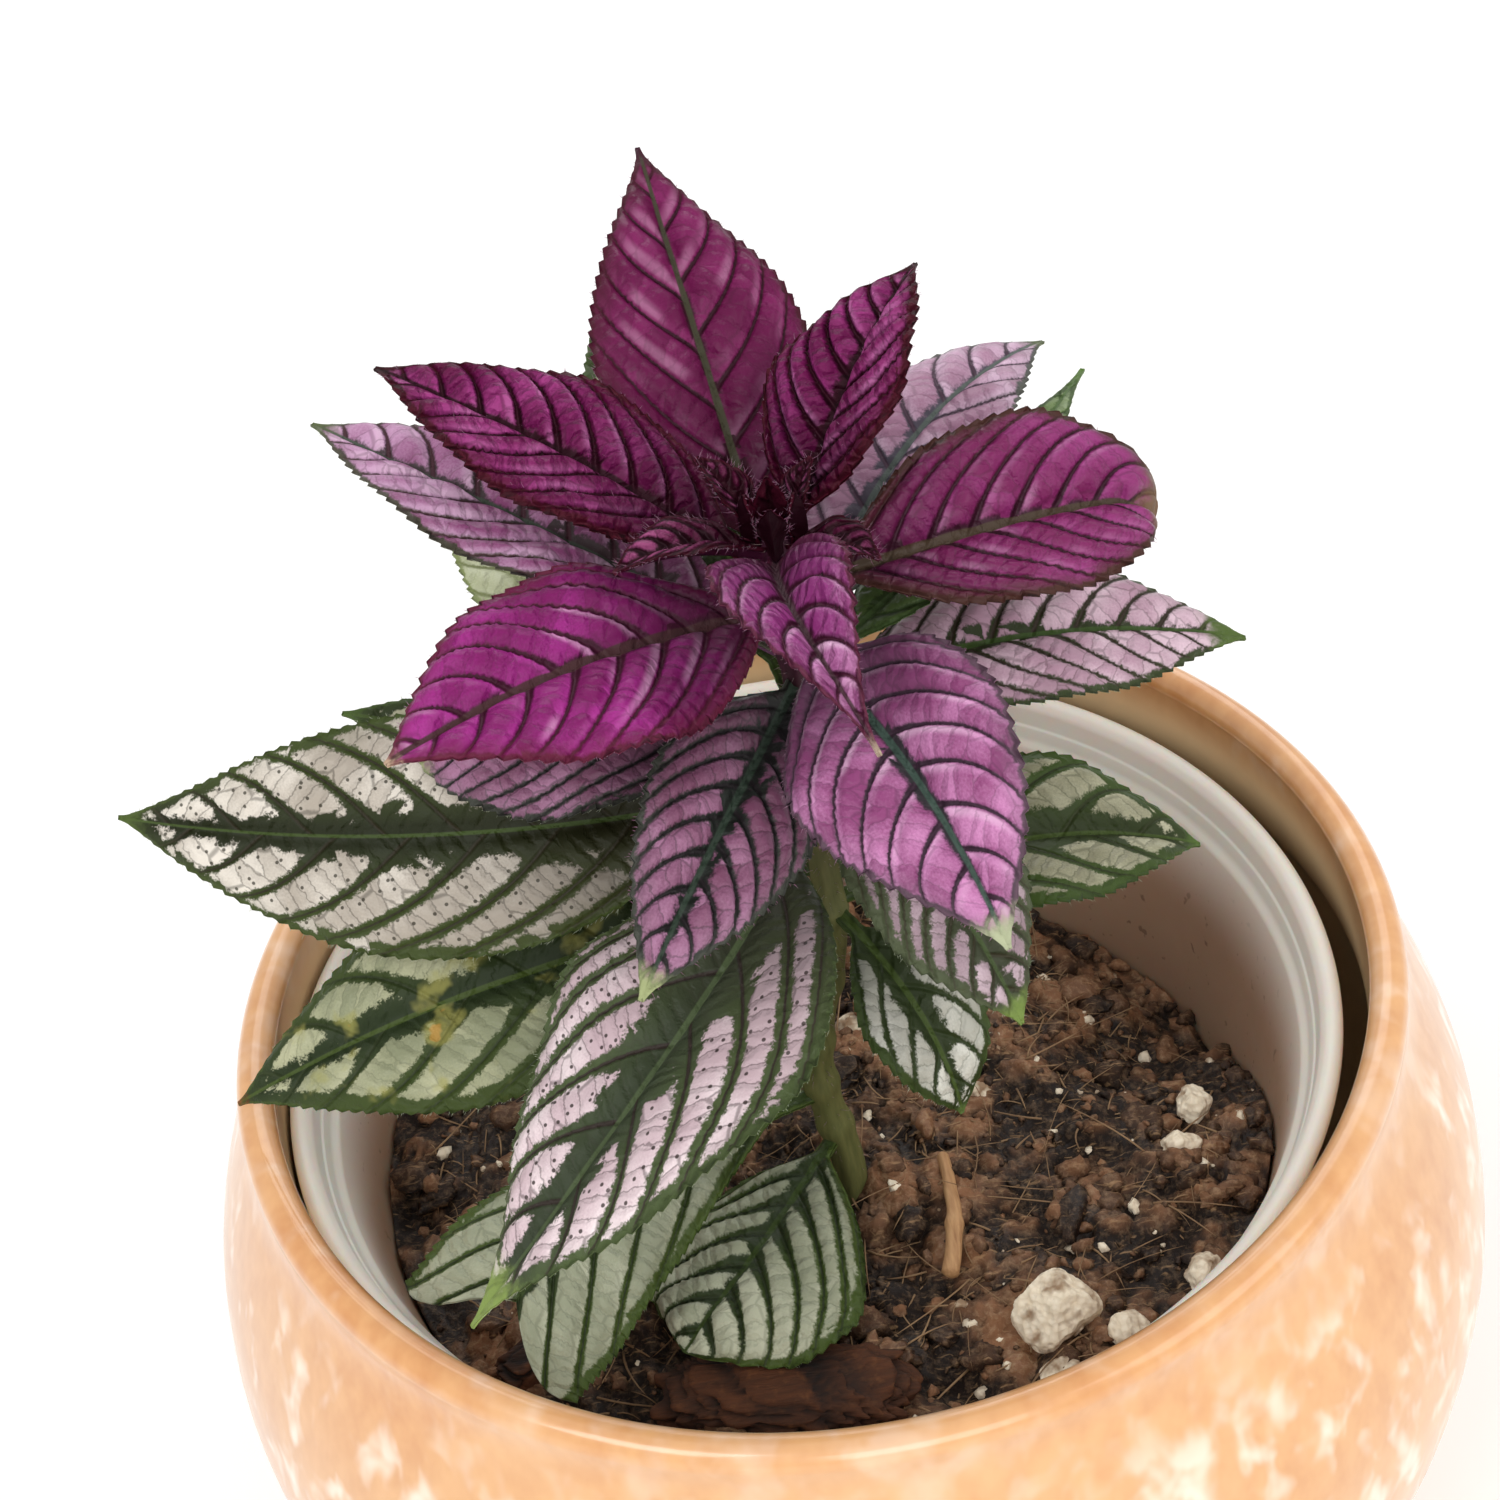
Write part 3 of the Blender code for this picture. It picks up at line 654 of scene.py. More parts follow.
        # Partly painted shade along the rim, over the leaf's own deeper margin tint
        drift = self.add("MapRange", (self.broad, 0, 1, -1.5, 1.5))
        rounded = self.add("Math", (self.edge, drift), **PLUS)
        rounded = self.add("MapRange", (rounded, 0.0, 2.6, look.rim_shade, 0.0), **SMOOTH)
        wide = look.midrib_width
        rib = self.add("MapRange", (self.share, 0.0, 1.0, 0.5 * wide, 0.16 * wide))
        rib = self.add("Math", (self.mid, rib), **MINUS)
        rib = self.add("MapRange", (rib, -0.04, 0.1, 0.95, 0.0), **SMOOTH)
        rimmed = self.add("Math", (self.edge, self.uneven), **PLUS)
        rimmed = self.add("MapRange", (rimmed, 0.1, 0.42, 1.0, 0.0), **SMOOTH)
        frayed = self.add("MapRange", (self.grain, 0, 1, -0.04, 0.04))
        end = self.add("Math", (self.share, frayed), **PLUS)
        end = self.add("MapRange", (end, look.tip_from, look.tip_from + 0.07), **SMOOTH)
        layers = [(shade, self.vein), (rounded, self.margin), (rib, linear(look.midrib)),
                  (rimmed, self.margin), (end, linear(look.tip))]
        if look.spots:
            blot = self.add("TexNoise", {"Vector": self.blade, "Scale": 0.2, "Detail": 3.0})
            for low, high, tint in ((0.58, 0.68, "#9A9650"), (0.69, 0.73, "#C08A3C")):
                blotch = self.add("MapRange", (blot, low, high, 0, look.spots), **SMOOTH)
                layers.append((blotch, linear(tint)))
        for mask, tint in layers:
            colour = self.add("Mix", {0: mask, 6: colour, 7: tint}, **COLOUR)
        return colour

    def paint(self) -> None:
        """Put the skin together. It sinks at the cross and side veins and is finely grained
        between, and the panels are a little smoother than the ground."""
        look = self.look
        panel = self.panels()
        colour = self.bordered(self.marked(panel))
        relief = self.add("MapRange", (self.rim, 0.0, 0.4, 0.0, 1.0), **SMOOTH)
        relief = self.add("Math", (self.fine, 0.12, relief), operation="MULTIPLY_ADD")
        sunken = self.add("MapRange", (self.away, 0.0, 0.4, 0, 1.0), **SMOOTH)
        relief = self.add("Math", (relief, sunken), **PLUS)
        bump = self.add("Bump", {"Strength": 1.0, "Distance": look.pucker * MM, "Height": relief})
        rough = self.add("MapRange", (panel, 0.0, 1.0, look.roughness + 0.12, look.roughness))
        self.wear(Base_Color=colour, Roughness=rough, Normal=bump)


class LeafBack(Finish):
    """The back of a leaf: dull purple or pale green with raised lighter veins."""

    def __init__(self, look: LeafFinish) -> None:
        """Read the vein count that is stored with the leaf's mesh, and draw a line on each vein.

        Args:
            look: the colours of this age.
        """
        super().__init__(f"{look.name} leaf back", Roughness=0.55, Specular_IOR_Level=look.gloss)
        veins = self.add("SeparateXYZ", (self.add("UVMap", uv_map="veins"),))
        measures = self.add("SeparateXYZ", (self.add("Attribute", out=1, attribute_name="leaf"),))
        away = self.add("Math", (veins, 0.5), operation="PINGPONG")
        away = self.add("Math", (away, measures), **TIMES)
        line = self.add("MapRange", {0: away, 1: 0.1, 2: 0.4, 3: 0.55, 4: 0.0}, **SMOOTH)
        blade = self.add("UVMap", uv_map="blade")
        grain = self.add("TexNoise", {"Vector": blade, "Scale": 2.2, "Detail": 3.0})
        deep = tuple(0.6 * c for c in linear(look.under)[:3]) + (1.0,)
        skin = self.add("Mix", {0: grain, 6: deep, 7: linear(look.under)}, **COLOUR)
        colour = self.add("Mix", {0: line, 6: skin, 7: linear(look.midrib)}, **COLOUR)
        bump = self.add("Bump", {"Strength": 0.5, "Distance": 0.2 * MM, "Height": line})
        self.wear(Base_Color=colour, Normal=bump)


class Hair(Finish):
    """Plant hair: thin clear cell walls that catch the light, in a tone that varies at random."""

    def __init__(self, name: str, colour: str) -> None:
        """Blend from a deeper tone to the colour.

        Args:
            name: the material's name.
            colour: its hex colour.
        """
        super().__init__(name, Roughness=0.35, Sheen_Weight=0.3)
        place = self.add("TexCoord", out="Object")
        grain = self.add("TexNoise", {"Vector": place, "Scale": cells(1.1)})
        base = linear(colour)
        deep = tuple(0.55 * c for c in base[:3]) + (1.0,)
        self.wear(Base_Color=self.add("Mix", {0: grain, 6: deep, 7: base}, **COLOUR))


class StemSkin(Finish):
    """Young stem skin: green-brown, flushed purple towards the crown, finely hairy."""

    def __init__(self) -> None:
        """Streak the skin along the stem, and flush it over its last 38 mm."""
        super().__init__("green stem skin", Roughness=0.55, Specular_IOR_Level=0.25)
        place = self.add("TexCoord", out="Object")
        height = self.add("SeparateXYZ", (place,), out=2)
        flush = self.add("MapRange", {0: height, 1: 0.11, 2: 0.148}, **SMOOTH)
        along = (cells(0.55), cells(0.55), cells(3.8))
        stretch = self.add("Mapping", {"Vector": place, "Scale": along})
        streak = self.add("TexNoise", {"Vector": stretch, "Scale": 1.0, "Detail": 3.0})
        low = self.add("Mix", {0: streak, 6: linear("#3E4A26"), 7: linear("#7C7A4A")}, **COLOUR)
        high = self.add("Mix", {0: streak, 6: linear("#22060F"), 7: linear("#451230")}, **COLOUR)
        colour = self.add("Mix", {0: flush, 6: low, 7: high}, **COLOUR)
        bump = self.add("Bump", {"Strength": 0.5, "Distance": 0.1 * MM, "Height": streak})
        self.wear(Base_Color=colour, Normal=bump)


class Age(Enum):
    """The finishes that the plant's leaves wear, from the crown down to the soil."""

    BUD = LeafFinish("bud", "#22040F", "#40101F", "#1A030A", "#18020A", "#1E040C", "#3A0A1A",
                     "#2E0614", "#1E030D", band=0.2, zone_width=0.2, netting=0.0, gleam=0.2,
                     base_shade=1.0, gloss=0.06)
    CROWN = LeafFinish("crown", "#4E1232", "#9A4A78", "#22040F", "#1E030D", "#2E0816", "#3E0A1C",
                       "#5A2030", "#3F0F2A", band=0.3, zone_width=0.4, margin_width=0.35,
                       ragged=0.15, netting=0.5, gleam=0.3, base_shade=1.0, tip_from=0.95,
                       pucker=0.3, gloss=0.12)
    WINE = LeafFinish("wine", "#68154A", "#A03C80", "#2E0618", "#2C0616", "#2A0A16", "#450A1C",
                      "#2A1616", "#5A1C42", band=0.18, zone_width=0.45, margin_width=0.6,
                      ragged=0.2, netting=0.42, gleam=0.4, base_shade=0.85, dots=0.3,
                      rim_shade=0.6, tip_from=0.94, pucker=0.42, cell=1.25, shine=0.4,
                      sparkle="#C084AE", gloss=0.12)
    MAGENTA = LeafFinish("magenta", "#5C0F3E", "#7C235A", "#2E0C1A", "#2E0B1A", "#3E3C2C",
                         "#451224", "#3A1C28", "#5C2548", band=0.12, zone_width=0.4, ragged=0.12,
                         netting=0.2, gleam=0.35, base_shade=0.6, rim_shade=0.75, shine=0.24,
                         sparkle="#D4A4C2", pucker=0.14, gloss=0.14)
    HOT = LeafFinish("hot magenta", "#721557", "#A22F88", "#3A0F26", "#3A0F24", "#452A2C",
                     "#5E1A34", "#C9AC90", "#602250", band=0.2, zone_width=0.6, ragged=0.14,
                     netting=0.22, gleam=0.35, base_shade=0.9, rim_shade=0.7, tip_from=0.955,
                     midrib_width=1.3, shine=0.35, pucker=0.18, gloss=0.16)
    ROSE = LeafFinish("rose", "#711C51", "#963A7A", "#351022", "#330E20", "#46382A", "#44261E",
                      "#6E543E", "#5C2548", band=0.18, zone_width=0.6, margin_width=0.6,
                      ragged=0.15, netting=0.28, gleam=0.3, base_shade=0.6, rim_shade=0.8,
                      tip_from=0.86, midrib_width=1.3, shine=0.15, pucker=0.2)
    PINK = LeafFinish("pink", "#853070", "#CC8ABA", "#3F142A", "#3C1428", "#4A3038", "#5A2038",
                      "#B09C88", "#642E56", band=0.2, zone_width=0.4, ragged=0.15, netting=0.3,
                      gleam=0.4, base_shade=1.0, rim_shade=0.4, tip_from=0.92, shine=0.6,
                      pucker=0.3, cell=1.3, gloss=0.2)
    ORCHID = LeafFinish("orchid", "#884170", "#D08CBC", "#2E2A2E", "#34202E", "#3E5248", "#5A4250",
                        "#A8AE8C", "#70386A", band=0.14, zone_width=0.9, ragged=0.18, netting=0.28,
                        gleam=0.35, base_shade=0.85, rim_shade=0.4, tip_from=0.9, shine=0.5)
    MAUVE = LeafFinish("mauve", "#75465F", "#A87796", "#1C211C", "#1B1618", "#2C3A2E", "#3E4038",
                       "#98A070", "#5C3850", band=0.26, zone_width=1.2, ragged=0.3, netting=0.45,
                       dots=0.35, gleam=0.15, base_shade=0.75, rim_shade=0.3, tip_from=0.9,
                       blocks=0.9)
    LILAC = LeafFinish("lilac", "#8E4A78", "#C79ABC", "#453A3C", "#45262F", "#4A5448", "#4A4638",
                       "#55603C", "#6A3E5E", band=0.25, zone_width=0.9, ragged=0.25, netting=0.35,
                       gleam=0.4, base_shade=0.5, tip_from=0.92, shine=0.5)
    PALE_LILAC = LeafFinish("pale lilac", "#9C7089", "#CCACC2", "#4A4450", "#46303F", "#56605A",
                            "#4E5048", "#55603C", "#6A3E5E", band=0.2, zone_width=0.9, ragged=0.25,
                            netting=0.3, gleam=0.35, base_shade=0.35, tip_from=0.92, shine=0.3)
    SILVER_LILAC = LeafFinish("silver lilac", "#B38D9F", "#DEC2CE", "#2C3518", "#33291F",
                              "#3C5224", "#3A4426", "#4C6028", "#60465A", band=0.25,
                              zone_width=0.7, ragged=0.3, netting=0.4, gleam=0.2, dots=0.25,
                              base_shade=0.1, tip_from=0.86, blocks=0.8)
    DUSKY = LeafFinish("dusky silver", "#957D86", "#C2ACB4", "#3A3F2C", "#33301F", "#41502C",
                       "#4A5238", "#6F8440", "#5C4C58", band=0.7, zone_width=3.0, margin_width=0.9,
                       ragged=0.45, netting=0.5, gleam=0.2, dots=0.3, base_shade=0.6,
                       tip_from=0.88, blocks=1.0)
    SILVER_PINK = LeafFinish("silver pink", "#C6ADB3", "#EEDEDF", "#333C28", "#2F2520", "#4E5C3C",
                             "#4A5832", "#7C8F4A", "#5A4C5A", band=0.85, zone_width=4.4,
                             margin_width=1.0, ragged=0.5, netting=0.55, dots=0.9, gleam=0.15,
                             base_shade=0.5, tip_from=0.86, blocks=1.3)
    SILVER = LeafFinish("silver", "#ACA295", "#DED6CA", "#212610", "#2A2616", "#3F5022", "#3F4C20",
                        "#4A5C26", "#57505A", band=0.75, zone_width=3.7, margin_width=0.9,
                        ragged=0.5, netting=0.52, dots=0.85, gleam=0.15, base_shade=0.8,
                        tip_from=0.93, blocks=1.4, midrib_width=0.45)
    OLD = LeafFinish("old silver", "#868A6C", "#B2B290", "#232F14", "#2A3418", "#41511F",
                     "#3C4A1C", "#8A4520", "#5A5E42", band=1.0, zone_width=3.8, margin_width=1.6,
                     ragged=0.5, netting=0.25, dots=0.1, gleam=0.1, base_shade=0.8, spots=0.6,
                     tip_from=0.965, blocks=1.2)
    FRESH_SILVER = LeafFinish("fresh silver", "#B2B1A5", "#E0DFD4", "#2F3A1E", "#2E3A1C",
                              "#435423", "#3C4C22", "#5A7038", "#6A7050", band=0.42,
                              zone_width=1.9, margin_width=0.9, ragged=0.4, netting=0.36,
                              gleam=0.2, base_shade=0.4, blocks=0.7)
    GREEN_SILVER = LeafFinish("green silver", "#828066", "#B8B599", "#2A3512", "#2A3212",
                              "#435423", "#3C501C", "#4C6428", "#6A7050", band=0.95,
                              zone_width=3.0, margin_width=1.5, ragged=0.45, netting=0.4,
                              dots=0.15, gleam=0.15, base_shade=0.5, blocks=1.2)
    PALE = LeafFinish("pale green", "#A9AE86", "#CBCFAE", "#868C62", "#767C52", "#9AA276",
                      "#828E56", "#768850", "#929A74", band=0.3, zone_width=0.6, netting=0.25,
                      gleam=0.2, base_shade=0.0)
    SHADED = LeafFinish("shaded", "#9CA188", "#C0C3AA", "#2E3A20", "#2A341C", "#3A4A22", "#4A5C28",
                        "#8A9450", "#5C6048", band=0.5, zone_width=0.8, margin_width=0.9,
                        ragged=0.3, netting=0.25, gleam=0.3, base_shade=0.3, tip_from=1.2,
                        pucker=0.2)
    SHOOT = LeafFinish("shoot", "#5C7440", "#86986A", "#364A20", "#34481E", "#50683A", "#42582A",
                       "#567530", "#566440", band=0.3, zone_width=0.4, netting=0.1, gleam=0.3,
                       base_shade=0.2)


# The growing plant


@dataclass(frozen=True)
class StemLine:
    """Where the stem runs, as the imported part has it."""

    foot: tuple = (0.5, -12.9, 77.5)
    tip: tuple = (3.0, -9.4, 156.0)
    length: float = 78.0
    bow: tuple = (1.0, 0.6, 0.0)
    kink: tuple = (-2.6, 0.0, 0.0)
    kink_height: float = 36.0
    foot_radius: float = 1.6
    tip_radius: float = 1.2

    def point(self, height: np.ndarray | float) -> np.ndarray:
        """Middle of the stem.

        Args:
            height: mm above the soil, along the stem.

        Returns:
            The line from foot to tip, plus the bow times sin(pi share) and, low down, the kink
            times sin(pi height / kink height)^2.
        """
        share = np.asarray(height, float)[..., None] / self.length
        low = np.clip(share * self.length / self.kink_height, 0, 1)
        foot, tip = np.array(self.foot), np.array(self.tip)
        bow = np.array(self.bow) * np.sin(math.pi * share)
        return foot + (tip - foot) * share + bow + np.array(self.kink) * np.sin(math.pi * low) ** 2

    def radius(self, height: np.ndarray | float) -> np.ndarray:
        """Radius at a height above the soil, falling evenly from foot to tip."""
        share = np.asarray(height, float) / self.length
        return self.foot_radius + (self.tip_radius - self.foot_radius) * share


STEM = StemLine()


@dataclass(frozen=True)
class Blade:
    """One leaf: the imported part's own numbers, in mm and degrees, with its finish.

    rise is its pitch at the stem, droop what it loses by the tip, sweep its turn sideways, tilt
    and twist its roll, fold the V of its halves, curl the roll-under of its tip. taper
    over 1.2 draws the tip out. On a torn one cut shortens it, notch its middle and corner its
    two corners. veins counts the side veins on each half, lean is how far they point to the tip
    and quilt is how far the skin swells between them.
    """

    name: str
    finish: Age
    height: float
    turn: float
    length: float
    width: float
    rise: float = 20
    droop: float = 40
    sweep: float = 0
    tilt: float = 0
    twist: float = 0
    fold: float = 18
    curl: float = 0
    stalk: float = 0.08
    wave: float = 0.05
    taper: float = 1.2
    cut: float = 1.0
    notch: float = 0.0
    corner: float = 0.0
    veins: int = 8
    lean: float = 0.75
    quilt: float = 0.45

    steps: int = 240
    blade_thickness: float = 0.34
    tooth_spacing: float = 1.35
    tooth_depth: float = 0.34

    def half_width(self, share: np.ndarray) -> np.ndarray:
        """Half width of the leaf in mm.

        Args:
            share: share along the leaf.

        Returns:
            The oval x^0.95 (1-x)^taper scaled to the leaf's width, on a thin stalk.
        """
        x = self.along_blade(share)
        a, b = 0.95, self.taper
        widest = (a / (a + b)) ** a * (b / (a + b)) ** b
        oval = self.width / 2 * x ** a * (1 - x) ** b / widest
        return np.sqrt(oval ** 2 + (0.62 * (1 - x) + 0.25) ** 2)

    def midrib(self) -> tuple[np.ndarray, np.ndarray, np.ndarray, np.ndarray]:
        """Walk the midrib from the stem to the tip.

        Returns:
            Points, and unit vectors along, to the side and out of the blade, at each step. Pitch
            is rise - droop s^1.5 - curl over the last fifth, heading is turn + sweep s.
        """
        s = np.linspace(0, 1, self.steps + 1)
        last = np.clip((s - 0.78) / 0.22, 0, 1) ** 1.5
        pitch = np.radians(self.rise - self.droop * s ** 1.5 - self.curl * last)
        heading = np.radians(self.turn + self.sweep * s)
        along = np.stack([np.cos(pitch) * np.cos(heading), np.cos(pitch) * np.sin(heading),
                          np.sin(pitch)], 1)
        flat = np.stack([-np.sin(heading), np.cos(heading), 0 * heading], 1)
        up = np.cross(along, flat)
        roll = np.radians(self.tilt + self.twist * s)[:, None]
        side = flat * np.cos(roll) + up * np.sin(roll)
        normal = up * np.cos(roll) - flat * np.sin(roll)
        out = STEM.radius(self.height) + 0.45
        turn = math.radians(self.turn)
        start = STEM.point(self.height) + out * np.array([math.cos(turn), math.sin(turn), 0])
        travel = np.cumsum((along[1:] + along[:-1]) / 2 * self.length / self.steps, axis=0)
        return start + np.concatenate([np.zeros((1, 3)), travel]), along, side, normal

    def along_blade(self, share: np.ndarray) -> np.ndarray:
        """Share along the blade proper, from 0 where the stalk ends to 1 at the tip."""
        return np.clip((share - self.stalk) / (1 - self.stalk), 0, 1) * self.cut

    def vein_phase(self, share: np.ndarray, v: np.ndarray, left: np.ndarray) -> np.ndarray:
        """Number of side veins passed.

        A vein that is m mm out from the midrib has moved m lean (1 + 0.85 v^2) mm towards the
        tip, so it leaves at about 50 degrees and bends forward near the margin. The two halves
        are a third of a vein apart.

        Args:
            share: share along the leaf.
            v: share across, from -1 to 1.
            left: 1 on the half where v is over 0, else 0.

        Returns:
            A whole number on each vein.
        """
        out = self.half_width(share) * np.abs(v) * self.cut / self.length
        passed = 1.06 * self.along_blade(share) ** 0.94 - out * self.lean * (1 + 0.85 * v ** 2)
        return self.veins * passed + 0.33 * left + 0.25

    def surface(self, u: np.ndarray, v: np.ndarray, left: np.ndarray
                ) -> tuple[np.ndarray, np.ndarray, dict[str, np.ndarray]]:
        """Points of the upper skin at shares u along and v across.

        A point stands at the midrib plus half width times v to the side, raised by the V fold,
        the arch of the margins, a slow wave, the swelling between veins, less the grooves.

        Args:
            u: share along the leaf, a little under 0 inside the stem's skin.
            v: share across, from -1 to 1.
            left: 1 on the half where v is over 0, else 0.

        Returns:
            Points, the unit normals of the unfolded blade, and the measures that the finish reads.
        """
        line, along, side, normal = self.midrib()
        grid = np.arange(self.steps + 1)
        share = np.clip(u, 0, 1)
        torn = self.notch * (1 - np.abs(v)) * share + self.corner * v ** 4 * share ** 3
        k = share * (1 - torn) * self.steps

        def at(table: np.ndarray) -> np.ndarray:
            """Rows of a table between its steps."""
            return np.stack([np.interp(k, grid, column) for column in table.T], 1)

        half = self.half_width(share)
        w = np.abs(v)
        fold = math.radians(self.fold)
        mid = half * w
        ripple = np.sin(2 * math.pi * (3 * share + 0.25 * np.sign(v) + 0.37 * self.height))
        phase = self.vein_phase(share, v, left)
        slant = 0.5 - np.abs(phase % 1.0 - 0.5)
        swell = 1 - np.exp(-(slant / 0.17) ** 1.6)
        lumps = noise(np.stack([phase * 1.5 + 7.3 * left, mid / 1.5 + self.height], 1), 51)
        room = np.clip(half / 5, 0, 1)
        inner = 1 - np.exp(-(mid / 1.0) ** 2)
        outer = 1 - w ** 6
        lift = half * (w * math.sin(fold) - 0.25 * v ** 2 + self.wave * w * ripple)
        lift = lift + self.quilt * room * (swell * (1 + 0.35 * lumps) * inner * outer - 0.5)
        lift = lift - 0.28 * room * np.exp(-(mid / 0.55) ** 2)
        count = max(6, round(self.length / self.tooth_spacing))
        saw = (share * count) % 1.0
        tooth = self.tooth_depth * room * (np.where(saw < 0.75, saw / 0.75, (1 - saw) / 0.25) - 0.4)
        reach = half * v * math.cos(fold) + np.sign(v) * tooth * w ** 10
        start = np.minimum(u, 0)[:, None] * self.length * along[0]
        place = at(line) + start + at(side) * reach[:, None] + at(normal) * lift[:, None]
        place = place + at(along) * (0.5 * tooth * w ** 10)[:, None]

        step = 1e-3
        grow = (self.half_width(np.clip(share + step, 0, 1)) - self.half_width(share)) / step
        by_u = (self.vein_phase(share + step, v, left) - phase) / step
        by_v = (self.vein_phase(share, w + step, left) - phase) / step
        slope = np.hypot((by_u - by_v * w * grow / half) / self.length, by_v / half)
        measures = {"gap": 1 / np.maximum(slope, 0.02), "x": self.along_blade(share),
                    "mid": half * v, "edge": half * (1 - w), "along": share * self.length,
                    "side": at(side), "ahead": at(along)}
        return place, at(normal), measures


# Short name for the table of leaves
A = Age
BLADES = {
    "crown_leaf": [
        Blade("crown_leaf_left", A.CROWN, 78, 196, 13, 7, rise=30, droop=50, fold=35, veins=6,
              quilt=0.45),
        Blade("crown_leaf_right", A.CROWN, 78, -30, 8, 5.5, rise=20, droop=60, fold=35, veins=5,
              quilt=0.3),
        Blade("crown_leaf_back", A.CROWN, 78.5, 140, 8, 4.5, rise=60, droop=30, fold=35, veins=5,
              quilt=0.3),
        Blade("crown_leaf_inner", A.CROWN, 78.5, 40, 6, 3.6, rise=65, droop=30, fold=35, veins=5,
              quilt=0.2),
    ],
    "young_leaf": [
        Blade("leaf_top", A.MAGENTA, 69, 99, 48, 21, rise=42, droop=20, sweep=-2, tilt=8,
              stalk=0.15, taper=1.4, veins=7, lean=1.0, quilt=0.95),
        Blade("leaf_top_right", A.WINE, 77, 48, 27, 15.5, rise=50, droop=42, fold=26, tilt=-4,
              twist=-10, quilt=0.8),
        Blade("leaf_top_left", A.WINE, 75.3, 149, 38.5, 16.5, rise=30, droop=22, sweep=-4, tilt=-6,
              fold=22, veins=9, lean=0.85, quilt=0.9),
        Blade("leaf_right_curled", A.ROSE, 73, 6, 34.8, 21, rise=6, droop=24, sweep=12, tilt=26,
              twist=8, fold=34, curl=80, taper=0.9, quilt=0.8),
        Blade("leaf_left_broad", A.HOT, 71.5, 206, 37, 22, rise=18, droop=22, sweep=10, tilt=-14,
              fold=16, stalk=0.02, veins=8, quilt=0.8),
        Blade("leaf_front_small", A.PINK, 77, -98, 28, 15, rise=28, droop=80, sweep=38, tilt=4,
              fold=44, taper=1.9, veins=7, quilt=0.7),
        Blade("leaf_front_right", A.ORCHID, 68, -72, 37, 20, rise=12, droop=55, tilt=24, fold=20,
              twist=4, veins=8, quilt=0.75),
        Blade("leaf_front_left", A.MAUVE, 64, -112, 34, 15.5, rise=4, droop=32, sweep=-15,
              tilt=-37, stalk=0.02, veins=9, lean=0.9, quilt=0.65),
    ],
    "lilac_leaf": [
        Blade("leaf_left_lilac", A.LILAC, 67, 151, 48, 20, rise=25, droop=18, sweep=-10, tilt=4,
              fold=26, veins=9, quilt=0.8),
        Blade("leaf_right_lilac", A.SILVER_LILAC, 62, 18, 43, 17, rise=-3, droop=26, sweep=-12,
              tilt=10, twist=10, veins=9, quilt=0.55),
        Blade("leaf_back_right", A.PALE_LILAC, 66, 58, 45, 17, rise=26, droop=44, sweep=-18,
              tilt=3, quilt=0.6),
        Blade("leaf_left_under", A.MAUVE, 58.5, 171, 35, 21, rise=14, droop=34, sweep=-4, tilt=-24,
              taper=0.8, lean=0.9, quilt=0.6),
        Blade("leaf_front_under", A.DUSKY, 57, -54, 31, 17, rise=-22, droop=50),
        Blade("leaf_back_narrow", A.SHOOT, 64, 32, 45, 11, rise=13, droop=14, sweep=26, taper=1.6),
        Blade("leaf_back_hidden", A.GREEN_SILVER, 60, 107, 48, 17, rise=41, droop=46),
    ],
    "silver_leaf": [
        Blade("leaf_left_silver", A.SILVER, 52, 179, 67, 24, rise=-4, droop=-4, sweep=-26,
              tilt=-46, twist=-5, veins=8, lean=0.95, quilt=0.5),
        Blade("leaf_left_old", A.OLD, 39.5, 184, 60, 24, rise=-2, droop=28, sweep=-6, tilt=-28,
              veins=6, lean=1.0, quilt=0.5),
        Blade("leaf_front_silver", A.SILVER_PINK, 49.3, -122, 54, 29, rise=-10, droop=30,
              sweep=-31, tilt=2, twist=10, taper=1.45, veins=6, lean=1.1, quilt=0.5),
        Blade("leaf_front_low", A.FRESH_SILVER, 37, -54, 23, 14, rise=-22, droop=66, sweep=-8,
              fold=24, veins=4, lean=1.0, quilt=0.3),
        Blade("leaf_right_green", A.GREEN_SILVER, 38, 12, 37, 20, rise=6, droop=42, sweep=-7,
              tilt=14, fold=26, veins=4, lean=1.0, quilt=0.4),
        Blade("leaf_back_pale", A.PALE, 47, 133, 54, 15, rise=24, droop=26, sweep=-12, quilt=0.3),
        Blade("leaf_left_low", A.GREEN_SILVER, 42, 154, 48, 15, rise=24, droop=25, tilt=-20,
              quilt=0.3),
    ],
    "shaded_leaf": [
        Blade("leaf_soil_left", A.SHADED, 14, 198, 44, 21, rise=4, droop=20, sweep=30, tilt=-14,
              fold=4, cut=0.5, notch=0.2, corner=0.1, veins=10, lean=0.9, quilt=0.8),
        Blade("leaf_soil_front", A.SHADED, 8, 230, 26, 24, rise=-8, droop=-4, sweep=-5, curl=40,
              tilt=6, fold=0, stalk=0.04, taper=0.7, veins=6, quilt=0.8),
        Blade("shoot_leaf_outer", A.SHOOT, 24, 214, 18, 4.5, rise=-4, droop=60, fold=10,
              quilt=0.1),
        Blade("shoot_leaf_inner", A.SHOOT, 28, 200, 17, 4.5, rise=-6, droop=50, fold=10,
              quilt=0.1),
        Blade("shoot_leaf_green", A.SHOOT, 20.5, 190, 10, 6, rise=4, droop=50, veins=5,
              quilt=0.15),
    ],
}


